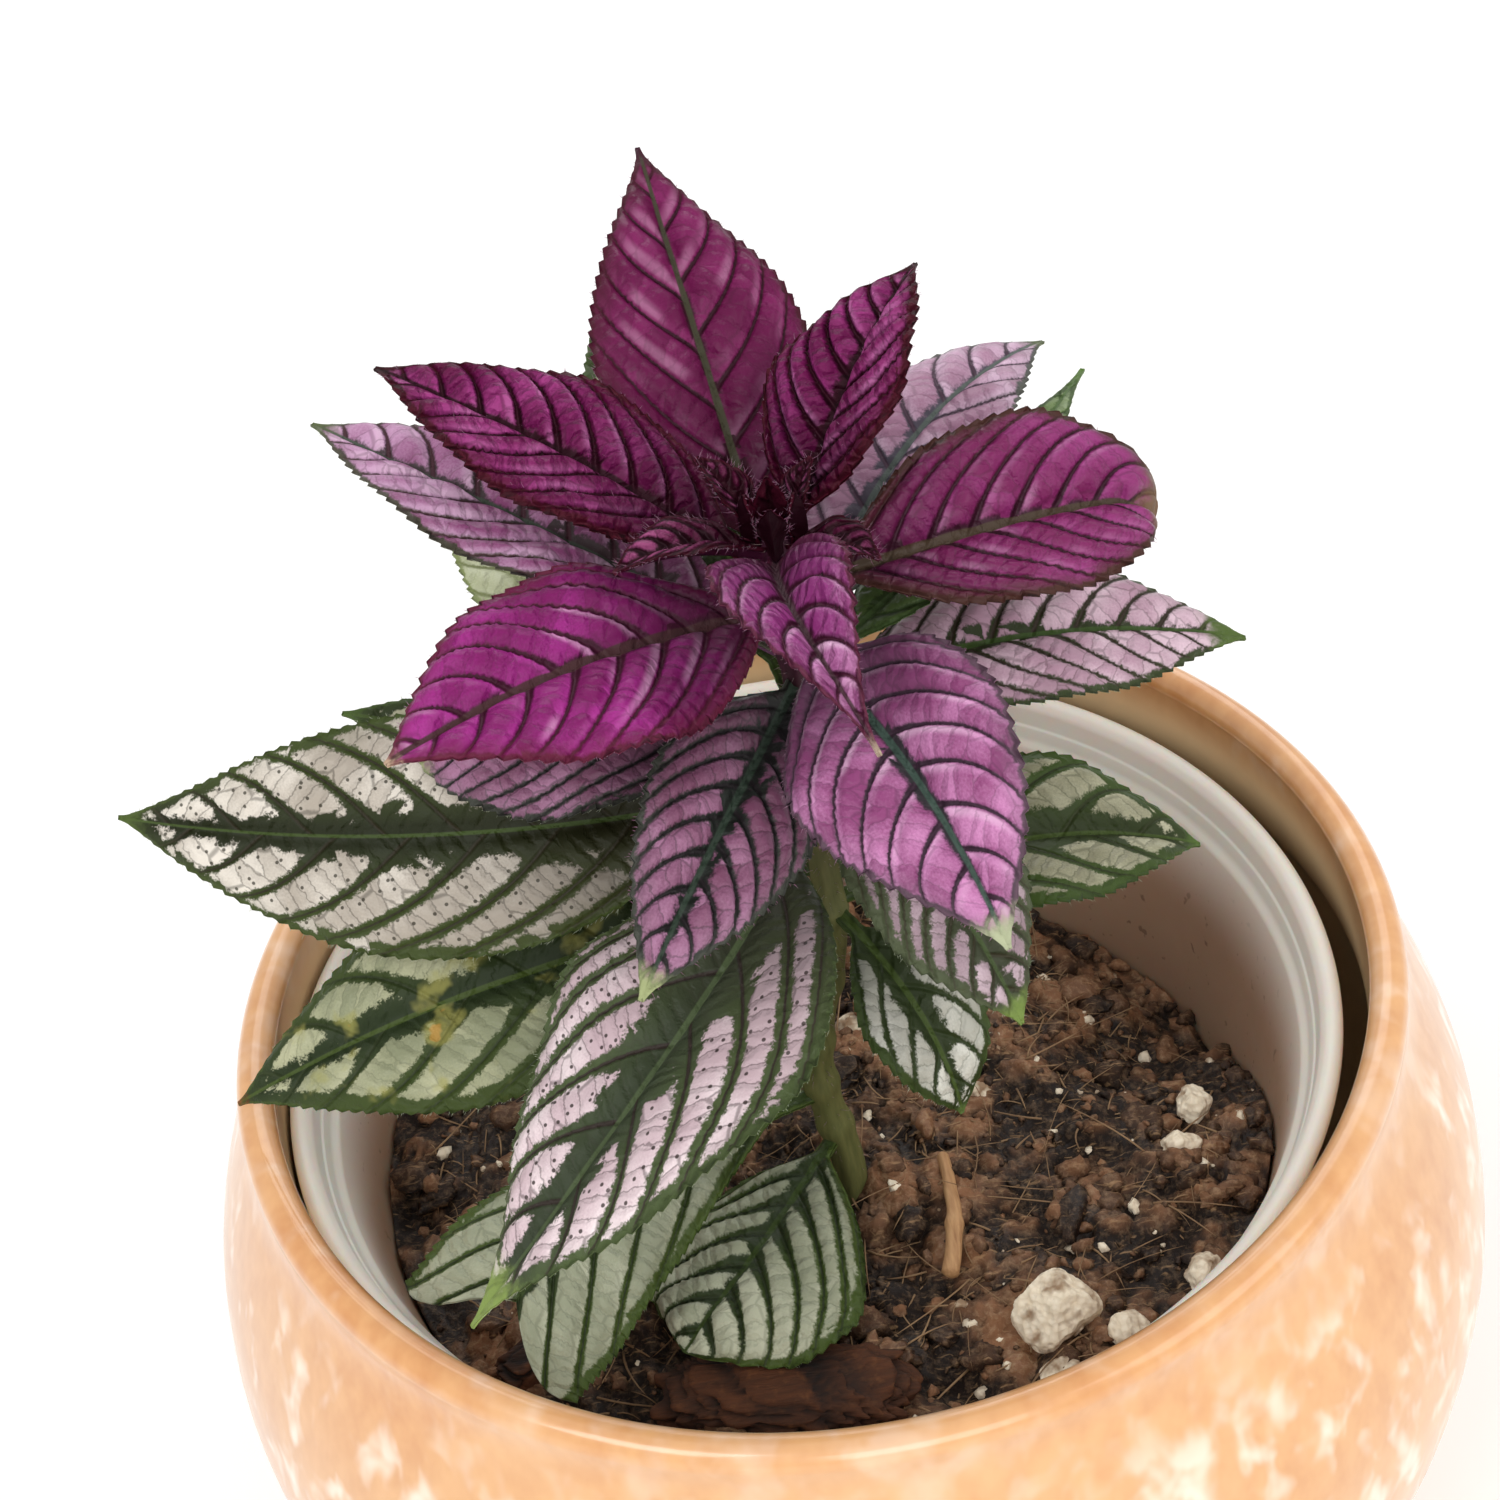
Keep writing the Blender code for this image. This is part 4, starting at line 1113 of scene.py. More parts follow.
# Tiny folded leaves that close over the shoot's tip
BUD_SCALES = [
    Blade(f"bud_scale_{side}", A.BUD, height, turn, length, width, rise=rise, droop=droop,
          fold=fold, stalk=0.02, veins=1, quilt=0.0)
    for side, height, turn, length, width, rise, droop, fold in (
        ("left", 78.4, 170, 4.2, 3.2, 78, -20, 40), ("right", 78.4, -8, 4.0, 3.0, 80, -16, 40),
        ("front", 78.6, 262, 3.4, 3.0, 84, -24, 36), ("back", 78.6, 88, 4.4, 3.2, 82, -14, 36))]


@dataclass
class Foliage:
    """Every leaf of the plant, with its hairs.

    hairs gives, for each slot, the hairs a millimetre of margin, their length and their radius.
    """

    columns: int = 30
    rows_per_tooth: int = 4
    most_rows: int = 168
    first_scale: int = 60
    rib_depth: float = 0.75
    in_stem: float = 0.9
    hairs: dict = field(default_factory=lambda: {
        "crown_leaf": (6.0, 0.55, 0.035), "young_leaf": (2.2, 0.4, 0.032),
        "lilac_leaf": (1.6, 0.35, 0.03), "silver_leaf": (2.2, 0.4, 0.032),
        "shaded_leaf": (1.0, 0.3, 0.03)})

    def build_blade(self, blade: Blade, order: int, skins: list[bpy.types.Material]
                    ) -> bpy.types.Object:
        """Build one leaf as a closed shell of two skins.

        The upper skin is the blade's surface. The lower skin lies under it by the thickness plus
        a rib, rib depth times exp(-(mm from the midrib / 0.8)^2), and the margins join them.

        Args:
            blade: the leaf.
            order: its place in the list, which shifts its pattern.
            skins: the upper and lower materials.

        Returns:
            The leaf's object, with its vein count and millimetres stored for the finish.
        """
        teeth = max(6, round(blade.length / blade.tooth_spacing))
        rows = min(teeth * self.rows_per_tooth, self.most_rows) + 1
        u_line = np.concatenate([[-self.in_stem / blade.length], np.linspace(0, 1, rows)])
        v_line = np.linspace(-1, 1, self.columns + 1)
        v_line = np.sign(v_line) * np.abs(v_line) ** 0.92
        u, v = (m.ravel() for m in np.meshgrid(u_line, v_line, indexing="ij"))
        left = (v > 0).astype(float)
        upper, normal, m = blade.surface(u, v, left)
        rib = self.rib_depth * (1 - 0.8 * m["x"]) * np.exp(-(m["mid"] / 0.8) ** 2)
        thin = np.clip(m["edge"] / 0.8, 0.35, 1)
        lower = upper - normal * (blade.blade_thickness * thin + rib)[:, None]
        count, long, wide = len(upper), len(u_line), len(v_line)
        skin = quad_grid(long, wide)
        first, last = np.arange(wide), (long - 1) * wide + np.arange(wide)
        start, end = np.arange(long) * wide, np.arange(long) * wide + wide - 1

        def wall(line: np.ndarray) -> np.ndarray:
            """Quads between a border of the upper skin and the same border below."""
            return np.stack([line[:-1], line[1:], line[1:] + count, line[:-1] + count], 1)

        border = np.concatenate([wall(first)[:, ::-1], wall(last), wall(start), wall(end)[:, ::-1]])
        quads = np.concatenate([skin, skin[:, ::-1] + count, border])
        wears = np.concatenate([np.zeros(len(skin)), np.ones(len(skin)), np.zeros(len(border))])
        places = np.concatenate([upper, lower])
        made = make_piece(blade.name + "_skin", places, [quads], skins, wears)
        self.store_measures(made, blade, order, m, u, v)
        return made

    def store_measures(self, made: bpy.types.Object, blade: Blade, order: int,
                       m: dict[str, np.ndarray], u: np.ndarray, v: np.ndarray) -> None:
        """Store what the finish reads: the vein count and share across, the millimetres along and
        across, and for each point the vein gap, the share along and the distance to the margin.

        Args:
            made: the leaf's object.
            blade: the leaf.
            order: its place in the list.
            m: the measures of its surface.
            u: share along at each point.
            v: share across at each point.
        """
        mesh = made.data
        count = len(u)
        corner = np.empty(len(mesh.loops), np.int32)
        mesh.loops.foreach_get("vertex_index", corner)
        point = corner % count
        per_face = point.reshape(-1, 4)
        left = np.repeat((v[per_face].mean(1) > 0).astype(float), 4)
        phase = blade.vein_phase(np.clip(u[point], 0, 1), v[point], left)
        veins = mesh.uv_layers.new(name="veins")
        veins.data.foreach_set("uv", np.stack([phase, v[point]], 1).astype(np.float32).ravel())
        flat = mesh.uv_layers.new(name="blade")
        place = np.stack([m["along"][point] + 90.0 * order + 41.0 * left, m["mid"][point]], 1)
        flat.data.foreach_set("uv", place.astype(np.float32).ravel())
        leaf = mesh.attributes.new("leaf", "FLOAT_VECTOR", "POINT")
        both = np.tile(np.stack([m["gap"], m["x"], m["edge"]], 1), (2, 1))
        leaf.data.foreach_set("vector", both.astype(np.float32).ravel())

    def grow_hairs(self, blade: Blade, order: int, growth: tuple[float, float, float],
                   hair: bpy.types.Material) -> bpy.types.Object:
        """Fine hairs along a leaf's margins, and over its base on the youngest leaves.

        Args:
            blade: the leaf.
            order: its place in the list, which seeds the draw.
            growth: hairs a millimetre of margin, their length and their radius.
            hair: the hairs' material.

        Returns:
            One object of closed three-sided hairs.
        """
        density, length, radius = growth
        draw = np.random.default_rng(100 + order)
        count = int(2 * density * blade.length)
        u = draw.uniform(blade.stalk * 0.5, 0.98, count)
        v = np.where(draw.random(count) < 0.5, -1.0, 1.0)
        young = blade.finish in (Age.CROWN, Age.WINE)
        if young:
            inside = draw.random(count) < 0.3
            v = np.where(inside, draw.uniform(-0.9, 0.9, count), v)
        place, normal, m = blade.surface(u, v, (v > 0).astype(float))
        spread = draw.normal(0, 0.35, (count, 3))
        ahead = (m["side"] * np.sign(v)[:, None] * (np.abs(v) > 0.95)[:, None] + 0.45 * m["ahead"]
                 + normal * draw.uniform(0.0, 0.7, count)[:, None] + spread)
        ahead /= np.linalg.norm(ahead, axis=1, keepdims=True)
        bend = draw.normal(0, 0.18, (count, 3)) + 0.15 * m["ahead"]
        lengths = length * draw.uniform(0.5, 1.4, count) * (1.3 if young else 1.0)
        radii = radius * draw.uniform(0.7, 1.2, count)
        places, faces = strands(place - ahead * 0.08 - normal * 0.08, ahead, bend, lengths, radii)
        return make_piece(blade.name + "_hairs", places, faces, [hair])

    def build(self) -> None:
        """Build and dress every leaf and its hairs."""
        dressed = {age: [LeafSkin(age.value).material, LeafBack(age.value).material]
                   for age in Age}
        hair = {"crown_leaf": Hair("maroon bud hair", "#8E4A70").material,
                "young_leaf": Hair("pinkish leaf hair", "#A8688E").material}
        pale_hair = Hair("pale leaf hair", "#C3CDA8").material
        leaves = [(slot, blade) for slot, blades in BLADES.items() for blade in blades]
        scales = [("crown_leaf", blade) for blade in BUD_SCALES]
        for order, (slot, blade) in [*enumerate(leaves), *enumerate(scales, self.first_scale)]:
            nodes = (blade.name,) if order < self.first_scale else ()
            settle(self.build_blade(blade, order, dressed[blade.finish]), slot, *nodes)
            growth, colour = self.hairs[slot], hair.get(slot, pale_hair)
            settle(self.grow_hairs(blade, order, growth, colour), slot)


@dataclass
class Stem:
    """The upright shoot, four-sided with rounded edges, and thicker where leaves join it."""

    sides: int = 28
    rings: int = 220
    in_soil: float = 14.0
    joints: tuple = (9, 15, 20.5, 28, 37, 47, 52, 60, 67, 71, 77)

    def build(self) -> None:
        """Sweep the shoot: radius (1 + 0.08 cos 4a) times the stem's, plus a swelling of 0.35 mm
        times exp(-(mm from a joint / 1.4)^2) at each leaf joint."""
        height = np.linspace(-self.in_soil, STEM.length + 1.2, self.rings)
        line = STEM.point(np.clip(height, 0, None))
        line[:, 2] = np.where(height < 0, STEM.foot[2] + height, line[:, 2])
        swell = sum(np.exp(-((height - joint) / 1.4) ** 2) for joint in self.joints)
        angle = np.linspace(0, 2 * math.pi, self.sides, endpoint=False)
        end = np.sqrt(np.clip((STEM.length + 1.25 - height) / 1.5, 0, 1))
        radius = STEM.radius(np.clip(height, 0, None)) * end
        knots = 0.35 * swell * end
        radii = radius[:, None] * (1 + 0.08 * np.cos(4 * angle)) + knots[:, None]
        places, faces = sweep_tube(line, radii, self.sides)
        settle(make_piece("stem_skin", places, faces, [StemSkin().material]), "stem", "stem")
        self.grow_hairs()

    def grow_hairs(self) -> None:
        """Pale hairs that stand out from the shoot, denser towards the crown."""
        draw = np.random.default_rng(7)
        count = 900
        height = STEM.length * draw.random(count) ** 0.6
        angle = draw.uniform(0, 2 * math.pi, count)
        out = np.stack([np.cos(angle), np.sin(angle), draw.uniform(-0.2, 0.6, count)], 1)
        out /= np.linalg.norm(out, axis=1, keepdims=True)
        roots = STEM.point(height) + out * (STEM.radius(height) * 0.95)[:, None]
        places, faces = strands(roots, out, draw.normal(0, 0.2, (count, 3)),
                                draw.uniform(0.4, 1.1, count), draw.uniform(0.025, 0.045, count))
        hair = Hair("stem hair", "#A98A86").material
        settle(make_piece("stem_hairs", places, faces, [hair]), "stem")


# The soil and what lies on it


class Peat(Finish):
    """Moist peat: warm brown crumbs with fibrous streaks, near black with painted shade in the
    gaps, with painted light on the crumbs' tops.
    """

    def __init__(self) -> None:
        """Lighten the colour with height among the crumbs, as painted light and shade with a random
        tone, then add grit and threads.
        """
        super().__init__("moist peat", Specular_IOR_Level=0.4)
        place = self.add("TexCoord", out="Object")
        stand = self.add("Attribute", out=2, attribute_name="stand")
        big = self.add("TexNoise", {"Vector": place, "Scale": cells(6.0), "Detail": 3.0})
        fine = self.add("TexNoise", {"Vector": place, "Scale": cells(0.9), "Detail": 4.0,
                                     "Roughness": 0.7})
        across = (cells(2.5), cells(0.38), cells(1.1))
        stretch = self.add("Mapping", {"Vector": place, "Scale": across,
                                       "Rotation": (0.3, 0.2, 0.9)})
        fibre = self.add("TexNoise", {"Vector": stretch, "Scale": 1.0, "Detail": 3.0})
        # Painted light and shade: the higher a point stands among its crumbs, the lighter it is
        height = self.add("Math", (stand, self.add("Math", (big, 0.5), **TIMES)), **PLUS)
        light = self.add("MapRange", {0: height, 1: 0.38, 2: 1.0}, **SMOOTH)
        brown = self.add("Mix", {0: light, 6: linear("#1A0C04"), 7: linear("#8D6345")}, **COLOUR)
        grit = self.add("MapRange", {0: fine, 1: 0.48, 2: 0.72})
        grit = self.add("Math", (grit, self.add("MapRange", (light, 0.0, 1.0, 0.3, 1.0))), **TIMES)
        brown = self.add("Mix", {0: grit, 6: brown, 7: linear("#AA8A6A")}, **COLOUR)
        thread = self.add("MapRange", {0: fibre, 1: 0.6, 2: 0.72, 4: 0.55})
        colour = self.add("Mix", {0: thread, 6: brown, 7: linear("#B8946C")}, **COLOUR)
        bump = self.add("Bump", {"Strength": 1.0, "Distance": 0.35 * MM, "Height": fine})
        rough = self.add("MapRange", {0: big, 1: 0.35, 2: 0.65, 3: 0.42, 4: 0.9})
        self.wear(Base_Color=colour, Normal=bump, Roughness=rough)


class Coir(Finish):
    """Coir: dry plant fibre, matt, from brown to straw along its length."""

    def __init__(self) -> None:
        """Blend the two colours over a few millimetres."""
        super().__init__("coir fibre", Roughness=0.75)
        place = self.add("TexCoord", out="Object")
        grain = self.add("TexNoise", {"Vector": place, "Scale": cells(3.3)})
        colour = self.add("Mix", {0: grain, 6: linear("#5A3E2A"), 7: linear("#B8966E")}, **COLOUR)
        self.wear(Base_Color=colour)


class Perlite(Finish):
    """Expanded perlite: white volcanic glass foam, pitted, with stained hollows."""

    def __init__(self) -> None:
        """Pit the grain, and stain its hollows."""
        super().__init__("perlite", Roughness=0.85)
        place = self.add("TexCoord", out="Object")
        pits = self.add("TexVoronoi", {"Vector": place, "Scale": cells(0.67)})
        stain = self.add("TexNoise", {"Vector": place, "Scale": cells(2.4), "Detail": 3.0})
        dirt = self.add("MapRange", {0: stain, 1: 0.5, 2: 0.66})
        white = self.add("Mix", {0: pits, 6: linear("#FFF3DC"), 7: linear("#EAD9BC")}, **COLOUR)
        colour = self.add("Mix", {0: dirt, 6: white, 7: linear("#A08468")}, **COLOUR)
        bump = self.add("Bump", {"Strength": 0.8, "Distance": 0.3 * MM, "Height": pits})
        self.wear(Base_Color=colour, Normal=bump)


class Bark(Finish):
    """Pine bark: layered red-brown cork along the grain, with painted shade in its grooves."""

    def __init__(self) -> None:
        """Streak and fleck the cork, and paint shade where the mesh has a groove."""
        super().__init__("pine bark", Roughness=0.85)
        place = self.add("TexCoord", out="Object")
        along = (cells(6.0), cells(0.75), cells(1.1))
        grain = self.add("Mapping", {"Vector": place, "Scale": along,
                                     "Rotation": (0, 0, math.radians(65))})
        streak = self.add("TexNoise", {"Vector": grain, "Scale": 1.0, "Detail": 4.0,
                                       "Roughness": 0.65})
        fleck = self.add("TexNoise", {"Vector": place, "Scale": cells(1.1), "Detail": 3.0})
        # Painted shade: the cork turns near black the deeper a point lies in a groove
        groove_shade = self.add("Attribute", out=2, attribute_name="stand")
        brown = self.add("Mix", {0: streak, 6: linear("#1C0C03"), 7: linear("#6B3B1B")}, **COLOUR)
        flecked = self.add("MapRange", {0: fleck, 1: 0.55, 2: 0.75, 4: 0.5})
        brown = self.add("Mix", {0: flecked, 6: brown, 7: linear("#7C4C26")}, **COLOUR)
        colour = self.add("Mix", {0: groove_shade, 6: linear("#120805"), 7: brown}, **COLOUR)
        bump = self.add("Bump", {"Strength": 0.9, "Distance": 0.35 * MM, "Height": streak})
        self.wear(Base_Color=colour, Normal=bump)


class PeeledWood(Finish):
    """Peeled twig: pale and dry, with a fine grain along the twig."""

    def __init__(self) -> None:
        """Streak the wood along the twig."""
        super().__init__("peeled twig", Roughness=0.7)
        place = self.add("TexCoord", out="Object")
        along = (cells(0.38), cells(2.8), cells(0.38))
        stretch = self.add("Mapping", {"Vector": place, "Scale": along})
        streak = self.add("TexNoise", {"Vector": stretch, "Scale": 1.0, "Detail": 3.0})
        colour = self.add("Mix", {0: streak, 6: linear("#8A5A34"), 7: linear("#D9AE7C")}, **COLOUR)
        bump = self.add("Bump", {"Strength": 0.6, "Distance": 0.12 * MM, "Height": streak})
        self.wear(Base_Color=colour, Normal=bump)


@dataclass(frozen=True)
class Lump:
    """A grain or chunk on the soil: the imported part's own numbers, in mm and degrees.

    x and y are its middle, turn is about the upright, and blunt is a power under 1 that squares
    the ball off.
    """

    name: str
    x: float
    y: float
    length: float
    width: float
    tall: float
    turn: float
    blunt: float


LUMPS = [
    Lump("perlite_1", 17.6, -33.5, 8.0, 7.0, 6.4, 20, 0.8),
    Lump("perlite_2", 37.4, -9.6, 4.4, 3.8, 3.6, 60, 1.0),
    Lump("perlite_3", 34.3, -15.8, 4.6, 3.6, 3.2, 10, 1.0),
    Lump("perlite_4", 32.8, -30.8, 4.2, 3.4, 3.0, 45, 1.0),
    Lump("perlite_5", 24.0, -36.3, 4.0, 3.6, 3.0, 30, 1.0),
    Lump("perlite_6", 3.9, 8.8, 4.6, 3.8, 3.2, 0, 1.0),
    Lump("perlite_7", 15.6, -3.2, 3.2, 2.6, 2.4, 0, 1.0),
    Lump("perlite_8", 16.6, -39.6, 4.2, 3.4, 3.0, 20, 1.0),
    Lump("bark_chunk", -9.6, -36.6, 25.0, 9.6, 4.8, -10, 0.7),
    Lump("bark_chip", -34.2, -28.0, 6.5, 4.4, 2.8, 40, 0.55),
]


@dataclass
class Soil:
    """Moist potting mix: crumbs of peat, short fibres, bark, a twig and grains of perlite."""

    centre: tuple = (-1.1, -0.6)
    level: float = 77.5
    relief: float = 1.3
    floor: float = 7.7
    rings: int = 132
    sectors: int = 440
    stem_clear: float = 3.2
    edge_drop: float = 0.9
    edge_radius: float = 46.0
    bore_low: tuple = (34.9, 6.0)
    bore_high: tuple = (50.3, 88.4)
    fibre_reach: float = 45.0
    twig_start: tuple = (10.2, -12.5, 79.1)
    twig_end: tuple = (8.4, -27.5, 78.7)
    sunk: float = 12.0
    sunk_turn: float = 48.0
    flat: float = 0.72

    def bore(self, height: float) -> float:
        """Inner radius of the nursery pot's tapered wall at a height, evenly from low to high."""
        (r_low, z_low), (r_high, z_high) = self.bore_low, self.bore_high
        return r_low + (height - z_low) / (z_high - z_low) * (r_high - r_low)

    def dip(self, angle: np.ndarray, r: np.ndarray | float) -> np.ndarray:
        """How far the mix has sunk.

        Args:
            angle: direction from the pot's axis.
            r: distance from it.

        Returns:
            The depth: nothing in the middle, most at the wall at the back right.
        """
        facing = np.clip((np.cos(angle - math.radians(self.sunk_turn)) - 0.4) / 0.5, 0, 1)
        outer = np.clip((r - 18) / 26, 0, 1)
        return self.sunk * facing ** 2 * (3 - 2 * facing) * outer ** 2 * (3 - 2 * outer)

    def narrowing(self, angle: np.ndarray) -> np.ndarray:
        """Share of the full radius that the tapered wall leaves where the top has sunk."""
        full = self.bore(self.level)
        return self.bore(self.level - self.dip(angle, full)) / full

    def mean_height(self, x: np.ndarray, y: np.ndarray) -> np.ndarray:
        """Height of the top without its crumbs.

        Args:
            x: place from the pot's axis.
            y: place from the pot's axis.

        Returns:
            The level with three ripples, lower at the wall, less the dip.
        """
        ripple = (0.45 * np.sin(0.31 * x + 0.17 * y + 0.6)
                  + 0.35 * np.sin(0.13 * x - 0.37 * y + 2.1)
                  + 0.30 * np.sin(0.52 * x + 0.41 * y + 4.0))
        r = np.hypot(x, y)
        drop = self.edge_drop * (r / self.edge_radius) ** 4
        return self.level + self.relief * ripple - drop - self.dip(np.arctan2(y, x), r)

    def height(self, x: np.ndarray, y: np.ndarray) -> tuple[np.ndarray, np.ndarray]:
        """Height of the crumbly top.

        Args:
            x: place from the pot's axis.
            y: place from the pot's axis.

        Returns:
            The mean height plus heaps of 5, 2.2 and 1 mm crumbs, and how high each point
            stands among its crumbs, from 0 in a gap to 1 on top.
        """
        places = np.stack([x, y], 1)
        bent = places + 0.6 * np.stack([noise(places / 2.1, 31), noise(places / 2.1, 37)], 1)
        heap = (1.9 * domes(bent / 5.0, 11) + 1.0 * domes(bent / 2.2, 17)
                + 0.45 * domes(bent / 1.0, 23) + 0.3 * noise(bent / 0.45, 29)
                + 1.0 * noise(bent / 7.0, 41))
        stand = np.clip((heap + 0.1) / 2.6, 0, 1)
        wall = np.clip((self.bore(self.level) - np.hypot(x, y)) / 3, 0, 1)
        return self.mean_height(x, y) + (heap - 0.75) * (0.35 + 0.65 * wall), stand

    def build_top(self, peat: bpy.types.Material) -> None:
        """The soil's body: a polar grid with the crumbly height, over a plug in the pot.

        Args:
            peat: its material.
        """
        edge = self.bore(self.level - 2) - 0.3
        radius = edge * np.linspace(0, 1, self.rings + 1)[1:] ** 0.9
        angle = np.linspace(0, 2 * math.pi, self.sectors, endpoint=False)
        narrow = self.narrowing(angle)
        r, a = np.meshgrid(radius, angle, indexing="ij")
        r, a = (r * narrow).ravel(), a.ravel()
        x, y = r * np.cos(a), r * np.sin(a)
        z, stand = self.height(x, y)
        middle = np.array([[0.0, 0.0, float(self.height(np.zeros(1), np.zeros(1))[0][0])]])
        below = self.level - 2.4 - self.dip(angle, edge)
        low = [(edge * narrow, below), (self.bore(self.floor + 2) - 0.3, self.floor + 2),
               (self.bore(self.floor) - 2.2, self.floor)]
        rim = [np.stack([q * np.cos(angle), q * np.sin(angle), h + 0 * angle], 1)
               for q, h in low]
        places = np.concatenate([np.stack([x, y, z], 1)] + rim + [middle, [[0, 0, self.floor]]])
        rows = self.rings + len(low)
        here = np.arange(self.sectors)
        last = (rows - 1) * self.sectors + here
        caps = np.concatenate([fan(here, len(places) - 2), fan(last, len(places) - 1)[:, ::-1]])
        places[:, :2] += self.centre
        made = make_piece("soil_crumbs", places, [quad_grid(rows, self.sectors, closed=True), caps],
                          [peat])
        # How high each point stands, which the peat turns into painted shade in gaps and light on
        # top
        stands = np.concatenate([stand, np.full(len(places) - len(stand), 0.3)])
        store(made, "stand", stands)
        settle(made, "soil", "soil")

    def scatter(self, count: int, seed: int, inner: float = 0.0
                ) -> tuple[np.ndarray, np.random.Generator]:
        """Random places on the soil's top, clear of the wall and the stem.

        Args:
            count: how many are drawn before those by the stem are left out.
            seed: which draw.
            inner: how far inside the wall they stay.

        Returns:
            Places in the part's frame, and the draw for more numbers.
        """
        draw = np.random.default_rng(seed)
        r = (self.bore(self.level) - 1.2 - inner) * np.sqrt(draw.random(count))
        a = draw.uniform(0, 2 * math.pi, count)
        r = r * self.narrowing(a)
        x, y = r * np.cos(a), r * np.sin(a)
        z, _ = self.height(x, y)
        places = np.stack([x + self.centre[0], y + self.centre[1], z], 1)
        far = np.hypot(*(places[:, :2] - STEM.foot[:2]).T) > self.stem_clear
        return places[far], draw

    def build_grains(self, name: str, count: int, seed: int, sizes: tuple[float, float], slot: str,
                     finish: bpy.types.Material) -> None:
        """Small loose grains that lie half sunk in the top.

        Each is a ball of 5 rings of 7, or 11 rings of 16 where they reach 3 mm, stretched by
        random shares along its axes, swollen and dented by the noise field, turned and flattened.

        Args:
            name: the piece's name.
            count: about how many.
            seed: which draw.
            sizes: smallest and largest size.
            slot: the slot name, passed on to settle.
            finish: their material.
        """
        places, draw = self.scatter(count, seed)
        count = len(places)
        shape, faces = ball(5, 7) if sizes[1] < 3 else ball(11, 16)
        size = sizes[0] + (sizes[1] - sizes[0]) * draw.random(count) ** 2.2
        axes = draw.uniform(0.55, 1.25, (count, 1, 3)) * size[:, None, None] / 2
        points = shape[None] * axes
        own = shape[None] + 9.0 * np.arange(count)[:, None, None]
        rough = (0.5 * noise((1.2 * own).reshape(-1, 3), seed)
                 + 0.34 * noise((2.9 * own).reshape(-1, 3), seed + 1))
        points = points * (1 + rough.reshape(count, -1, 1))
        spin, tip = draw.uniform(0, 2 * math.pi, (2, count, 1))
        points = turned(turned(points, tip, 1, 2), spin, 0, 1) * [1, 1, self.flat]
        points = points + places[:, None] + np.array([0, 0, 0.04]) * size[:, None, None]
        grains = repeat(faces, count, len(shape))
        made = make_piece(name, points.reshape(-1, 3), grains, [finish])
        # For the peat: painted light on a grain's top, painted shade at its foot, a random tone a
        # grain
        rise = (points[..., 2] - places[:, None, 2]) / size[:, None]
        stand = np.clip(0.35 + 0.7 * rise, 0, 1) * draw.uniform(0.35, 1.15, (count, 1))
        store(made, "stand", stand)
        settle(made, slot)

    def build_fibres(self) -> None:
        """Coir and peat fibres that lie across the crumbs, some with a free end in the air."""
        places, draw = self.scatter(1250, 5, inner=3.0)
        count = len(places)
        a = draw.uniform(0, 2 * math.pi, count)
        ahead = np.stack([np.cos(a), np.sin(a), draw.uniform(-0.1, 0.35, count)], 1)
        ahead /= np.linalg.norm(ahead, axis=1, keepdims=True)
        bend = draw.normal(0, 0.3, (count, 3)) * [1, 1, 0.2] - [0, 0, 0.15]
        lengths = 2.0 + 8 * draw.random(count) ** 2.5
        tips = places + ahead * lengths[:, None]
        keep = np.hypot(*(tips[:, :2] - self.centre).T) < self.fibre_reach
        radii = draw.uniform(0.04, 0.14, count)
        points, faces = strands(places[keep] + [0, 0, 0.1], ahead[keep], bend[keep], lengths[keep],
                                radii[keep], segments=5, sides=4, blunt=0.5)
        settle(make_piece("soil_fibres", points, faces, [Coir().material]), "soil")

    def lump(self, item: Lump, shape: np.ndarray, swelling: np.ndarray) -> np.ndarray:
        """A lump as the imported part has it, on a finer grid.

        Args:
            item: the lump's sizes and place.
            shape: points of a unit ball.
            swelling: how far each point stands out, as a share of its distance.

        Returns:
            Points sign(q) |q|^blunt times the half sizes times (1 + swelling), turned and placed
            with three tenths of the height under the soil.
        """
        block = np.sign(shape) * np.abs(shape) ** item.blunt
        half = np.array([item.length, item.width, item.tall]) / 2
        points = turned(block * (1 + swelling)[:, None] * half, math.radians(item.turn), 0, 1)
        x, y = item.x - self.centre[0], item.y - self.centre[1]
        z = float(self.mean_height(np.array(x), np.array(y)))
        return points + np.array([item.x, item.y, z + 0.2 * item.tall])

    def grooves(self, q: np.ndarray, item: Lump, seed: int) -> np.ndarray:
        """Slanting grooves on bark.

        Args:
            q: points of a unit ball.
            item: the lump's sizes.
            seed: which noise.

        Returns:
            How far each point stands out: 0.26 times the distance from a groove to the power 0.7,
            where a groove runs wherever the stretched noise crosses 0, and a slow unevenness.
        """
        x, y = q[:, 0] * item.length / 2, q[:, 1] * item.width / 2
        along, over = 0.64 * x - 0.77 * y, 0.77 * x + 0.64 * y
        ridge = np.abs(noise(np.stack([along / 5, over / 1.5, q[:, 2] * 2.0], 1), seed, 3))
        broken = 0.1 * noise(q * 1.7, seed + 5)
        return 0.26 * np.clip(ridge * 2.2, 0, 1) ** 0.7 - 0.19 + broken

